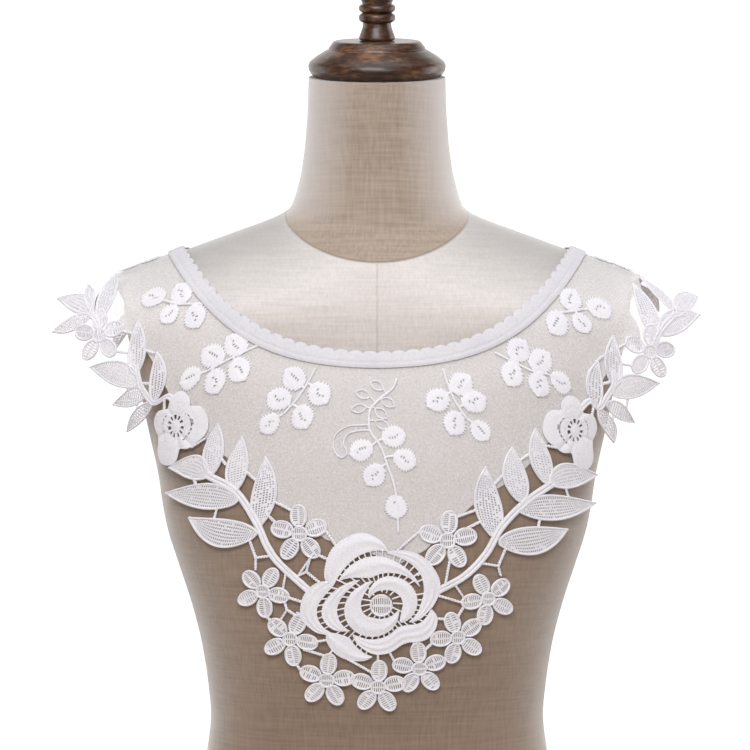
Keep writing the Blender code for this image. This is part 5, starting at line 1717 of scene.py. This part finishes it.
def side_rose(weave, centre, side):
    """A rose of joined satin petals round a ring of slots and an oval middle."""
    angle, radius = side_edge(side)
    rim = oval(centre, 1.0, angle, SIDE_RIM)
    edge = around(centre, radius, angle)
    share = np.linspace(0, 1, 15)
    flat = rim[:, None] * (1 - share)[None, :, None] + edge[:, None] * share[None, :, None]
    degrees = np.degrees(angle if side == "left" else math.pi - angle)
    creased = np.min([np.abs((degrees - crease + 180) % 360 - 180) for crease in SIDE_CREASES], axis=0)
    swell = 0.15 + 0.85 * np.minimum(1, creased / 14) ** 0.6
    dome = 0.35 + 0.65 * np.sqrt(np.clip(1 - (2 * share - 1.1) ** 2 * 0.85, 0, 1))
    dome[7] *= 0.72
    top = LACE_LOW + 0.2 + SIDE_RELIEF * dome[None] * swell[:, None]
    keep = np.ones((SIDE_STEPS, 14), bool)
    for low, high in SIDE_DASHES:
        here = ((degrees - low) % 360 < high - low) & (np.arange(SIDE_STEPS) % 6 < 4)
        keep[here, 4] = False
    middle, reach = SIDE_GAP
    here = np.abs((degrees - middle + 180) % 360 - 180) < reach
    keep[here, SIDE_GAP_BANDS[0]:SIDE_GAP_BANDS[1]] = False
    weave.patch(flat, top, LACE_LOW, keep, ring=True)
    rings = [oval(centre, 1, angle[::3], SIDE_MIDDLE), oval(centre, 1.08, angle[::3], SIDE_MIDDLE),
             oval(centre, 0.98, angle[::3], SIDE_RIM), oval(centre, 1.08, angle[::3], SIDE_RIM)]
    steps = len(angle[::3])
    keep = np.ones((steps, 3), bool)
    keep[np.arange(steps) * SIDE_SLOTS * 2 // steps % 2 == 1, 1] = False
    weave.patch(np.stack(rings, 1), LACE_LOW + SLOT_HEIGHT, LACE_LOW, keep, ring=True)
    share = np.linspace(0.03, 1, 6)
    flat = np.stack([oval(centre, k, angle[::6], SIDE_MIDDLE) for k in share], 1)
    weave.patch(flat, (LACE_LOW + SIDE_RELIEF * np.sqrt(1.2 - 0.8 * share ** 2))[None], LACE_LOW, ring=True)


def shoulder_piece(side, look, draw):
    weave = Weave()
    u, v, turn, reach = SHOULDER_FLOWERS[side]
    lace_flower(weave, spot((u, v)), turn, reach, draw)
    lace_stem(weave, SHOULDER_STEMS[side], SIDE_STEM_WIDTH)
    for row in SHOULDER_LEAVES[side]:
        lace_leaf(weave, row, draw, SIDE_HOLES)
    weave.make(f"cord_shoulder_{side}", f"lace_shoulder_{side}", look)


def back_piece(side, look, draw):
    """Half of the back edging: a stem along the hem, pairs of leaves and two flowers."""
    flip = np.array([1.0 if side == "left" else -1.0, 1.0])
    weave = Weave()
    path = back_hem(np.linspace(*BACK_STEM_ENDS, BACK_STEM_POINTS), STEM_SETBACK) * flip
    for shift in (-1, 1):
        cord(weave, smooth_path(path, 4), SIDE_STEM_WIDTH / 2 + 0.3, LACE_LOW, LACE_HEIGHT, SATIN_SWELL,
             shift=shift * SIDE_STEM_WIDTH / 4)
    length, width = BACK_LEAF
    for degrees in BACK_LEAF_ANGLES:
        root, ahead = back_hem(degrees, STEM_SETBACK), back_hem(degrees + 1, STEM_SETBACK)
        heading = math.atan2(*(ahead - root)[::-1])
        for turn in (-1, 1):
            angle = heading + turn * math.radians(BACK_LEAF_SPREAD)
            tip = root + length * np.array([math.cos(angle), math.sin(angle)])
            bend = turn * BACK_LEAF_BEND * flip[0]
            flat_leaf(weave, root * flip, tip * flip, width, bend, draw, LEAF_DENSE, LEAF_PITCH, LEAF_CORD)
    for degrees in BACK_FLOWER_ANGLES:
        centre = back_hem(degrees, STEM_SETBACK) * flip
        lace_flower(weave, centre, BACK_FLOWER_TURN, BACK_FLOWER_REACH, draw)
    weave.make(f"cord_back_{side}", f"lace_back_{side}", look)


def sprig_piece(name, sprig, look, draw):
    weave = Weave()
    line = smooth_path([spot(place) for place in sprig["stem"]], 6)
    thin_line(weave, line)
    for u, v, direction in sprig["leaves"]:
        centre = spot((u, v))
        sprig_blade(weave, centre, direction, SPRIG_LEAF, draw)
        base = around(centre, -SPRIG_LEAF[0] * 0.4, math.radians(direction))
        root = line[np.argmin(np.hypot(*(line - base).T))]
        thin_line(weave, [root, base])
    if name == "centre":
        thin_line(weave, smooth_path([spot(place) for place in CURL], 5), OUTLINE_WIDTH)
        for u, v, direction in CENTRE_LEAVES:
            centre = spot((u, v))
            outlined_leaf(weave, centre, direction, CENTRE_LEAF)
            base = around(centre, -CENTRE_LEAF[0] / 2, math.radians(direction))
            root = line[np.argmin(np.hypot(*(line - base).T))]
            thin_line(weave, [root, base], OUTLINE_WIDTH)
    weave.make(f"stitched_{name}", f"sprig_{name}", look)


def outlined_leaf(weave, centre, direction, size):
    """A small leaf shown by its outline alone."""
    length, width = size
    angle = math.radians(direction)
    base, tip = around(centre, -length / 2, angle), around(centre, length / 2, angle)
    along = tip - base
    aside = np.array([-along[1], along[0]]) / np.linalg.norm(along)
    t = np.linspace(0, 1, 13)[:, None]
    half = width / 2 * np.sin(math.pi * t) ** 0.85
    loop = np.concatenate([base + along * t + aside * half, (base + along * t - aside * half)[-2:0:-1]])
    thin_line(weave, np.concatenate([loop, loop[:1]]), OUTLINE_WIDTH, closed=True)


def back_sprig(side, look, draw):
    flip = np.array([1.0 if side == "left" else -1.0, 1.0])
    weave = Weave()
    thin_line(weave, smooth_path(BACK_SPRIG_STEM, 5) * flip)
    root = np.array(BACK_SPRIG_STEM[1]) * flip
    for x, s, direction in BACK_SPRIG_LEAVES:
        centre = np.array([x, s]) * flip
        sprig_blade(weave, centre, direction if side == "left" else 180 - direction, SPRIG_LEAF, draw)
        thin_line(weave, [root, centre])
    weave.make(f"stitched_back_{side}", f"sprig_back_{side}", look)


def band_piece(look):
    """The satin band: stitches across it, scallops towards the neck and a line along it."""
    coarse = neckline_angles(SCALLOP_PITCH)
    count = (len(coarse) - 1) * BAND_STITCHES
    at = np.arange(count + 1) / BAND_STITCHES
    angles = np.interp(at, np.arange(len(coarse)), coarse)
    phase = np.abs(2 * (at % 1) - 1)
    upper = -BAND_WIDTH / 2 + SCALLOP_DEPTH * phase ** SCALLOP_POWER
    lower = BAND_WIDTH / 2
    share = np.array([row[0] for row in BAND_PROFILE])
    height = np.array([row[1] for row in BAND_PROFILE])
    flat = np.stack([neckline(angles, upper + (lower - upper) * k) for k in share], 1)
    stitch = np.where(np.arange(count + 1) % 2, SATIN_STITCH, -SATIN_STITCH)[:, None]
    top = LACE_LOW + BAND_HEIGHT * height[None] + stitch * (height > 0.5)[None]
    weave = Weave()
    weave.patch(flat, top, LACE_LOW)
    weave.make("satin_band", "neck_band", look)


def net_piece(look):
    """The yoke as a thin sheet, and its flat area in square metres."""
    front = [spot(place) for place in (*NET_EDGE_LEFT, *NET_EDGE_RIGHT)]
    hem = back_hem(np.linspace(*BACK_HEM_ANGLES, BACK_HEM_POINTS), NET_SETBACK)
    side = np.array(NET_SIDE)
    outer = np.concatenate([hem[::-1], side, front, side[::-1] * [-1, 1], hem * [-1, 1]])
    inner = neckline(neckline_angles(NECKLINE_STEP))
    closed = np.concatenate([inner, [[0, -NECKLINE_BACK]]])
    corners = ((-1, -0.5 * NECKLINE_BACK), (1, -0.5 * NECKLINE_BACK),
               (1, -1.1 * BACK_HEM_DEPTH), (-1, -1.1 * BACK_HEM_DEPTH))
    slit = np.array(corners) * [BACK_OPENING / 2, 1]
    loops = [anticlockwise(split_edges(loop)) for loop in union([outer], [closed, slit])]
    points, cells, inside = triangles(loops, list(grid_points(loops)))
    upper = np.array([cell for cell, ids in zip(cells, inside) if len(ids) % 2 == 1])
    used, upper = np.unique(upper, return_inverse=True)
    upper = upper.reshape(-1, 3)
    flat = points[used]
    a, b, c = (flat[upper[:, k]] for k in range(3))
    size = np.abs(np.cross(b - a, c - a)).sum() / 2 * MM ** 2
    count = len(flat)
    edges = np.concatenate([upper[:, (0, 1)], upper[:, (1, 2)], upper[:, (2, 0)]])
    known = {tuple(edge) for edge in edges.tolist()}
    rim = np.array([edge for edge in edges.tolist() if (edge[1], edge[0]) not in known])
    faces = (upper[:, ::-1] + 0).tolist() + (upper + count).tolist()
    faces += np.stack([rim[:, 0], rim[:, 1], rim[:, 1] + count, rim[:, 0] + count], -1).tolist()
    top = SURFACE.lift(flat, np.full(count, NET_SHEET[1]))
    low = SURFACE.lift(flat, np.full(count, NET_SHEET[0]))
    mesh = bpy.data.meshes.new("net_sheet")
    mesh.from_pydata(((np.concatenate([top, low]) + ORIGIN) * MM).tolist(), [], faces)
    return finish_piece("net_sheet", mesh, "net_yoke", look, 60), size, np.ptp(flat, axis=0) * MM


# Floor, backdrop, lights and camera

def flat_stage(name, corners, look):
    mesh = bpy.data.meshes.new(name)
    mesh.from_pydata(corners, [], [(0, 1, 2, 3)])
    mesh.materials.append(look)
    obj = bpy.data.objects.new(name, mesh)
    bpy.context.scene.collection.objects.link(obj)


def make_stage():
    floor, _, shader = node_material("pale_floor", 0.8)
    shader.inputs["Base Color"].default_value = (*FLOOR_COLOUR, 1)
    r = FLOOR_REACH
    flat_stage("floor", [(-r, -r, 0), (r, -r, 0), (r, r, 0), (-r, r, 0)], floor)
    white, _, shader = node_material("white_backdrop", 0.9)
    shader.inputs["Base Color"].default_value = (1, 1, 1, 1)
    shader.inputs["Emission Color"].default_value = (*BACKDROP_COLOUR, 1)
    shader.inputs["Emission Strength"].default_value = BACKDROP_GLOW
    r, y, low, high = BACKDROP_REACH, BACKDROP_PLACE, BACKDROP_LOW, BACKDROP_HIGH
    flat_stage("backdrop", [(-r, y, low), (-r, y, high), (r, y, high), (r, y, low)], white)


def add_light(name, place, aim, size, power, colour):
    data = bpy.data.lights.new(name, "AREA")
    data.shape = "RECTANGLE"
    data.size, data.size_y = size
    data.energy = power
    data.color = colour
    obj = bpy.data.objects.new(name, data)
    obj.location = place
    obj.rotation_euler = (Vector(aim) - Vector(place)).to_track_quat("-Z", "Y").to_euler()
    bpy.context.scene.collection.objects.link(obj)


def make_lights():
    world = bpy.data.worlds.new("studio")
    world.use_nodes = True
    background = world.node_tree.nodes["Background"]
    background.inputs["Color"].default_value = (*WORLD_COLOUR, 1)
    background.inputs["Strength"].default_value = WORLD_STRENGTH
    bpy.context.scene.world = world
    for row in LIGHTS:
        add_light(*row)


def make_camera():
    data = bpy.data.cameras.new("camera")
    data.sensor_width = SENSOR
    data.lens = SENSOR * EYE_DISTANCE / (PICTURE_SIZE * VIEW_STEP)
    data.dof.use_dof = False
    obj = bpy.data.objects.new("camera", data)
    away = np.array([(VIEW_MIDDLE - VIEW_CENTRE) * VIEW_STEP, -EYE_DISTANCE, EYE_LEVEL])
    obj.location = (away + ORIGIN) * MM
    obj.rotation_euler = (math.radians(90), 0, 0)
    bpy.context.scene.collection.objects.link(obj)
    bpy.context.scene.camera = obj


MOTIFS = all_motifs()


def main():
    lace = cotton_look("lace_cotton", LACE_COLOUR, LACE_SHADE, 900)
    make_form(linen_look())
    walnut = walnut_look()
    make_turned("walnut_cap", "neck_cap", CAP_PROFILE, walnut)
    make_turned("walnut_finial", "finial", FINIAL_PROFILE, walnut)
    net, size, reach = net_piece(net_look())
    # The ribbon in the lace's white made darker: painted shade
    band_piece(cotton_look("satin_ribbon", RIBBON_SHADED_WHITE, RIBBON_SHADE, 500))
    draw = np.random.default_rng(SEED)
    rose_piece(lace, draw)
    for side in ("left", "right"):
        spray_piece(side, lace, draw)
        flower_piece(f"cord_flower_{side}", f"lace_flower_{side}", [UPPER_FLOWERS[side]], (), lace, draw)
        side_piece(side, lace, draw)
        shoulder_piece(side, lace, draw)
        back_piece(side, lace, draw)
        back_sprig(side, lace, draw)
    flower_piece("cord_flowers_lower", "lace_flowers_lower", LOWER_FLOWERS, FLOWER_BARS, lace, draw)
    for name, sprig in SPRIGS.items():
        sprig_piece(name, sprig, lace, draw)
    make_stage()
    make_lights()
    make_camera()
    bpy.context.scene.view_settings.view_transform = "Standard"


main()
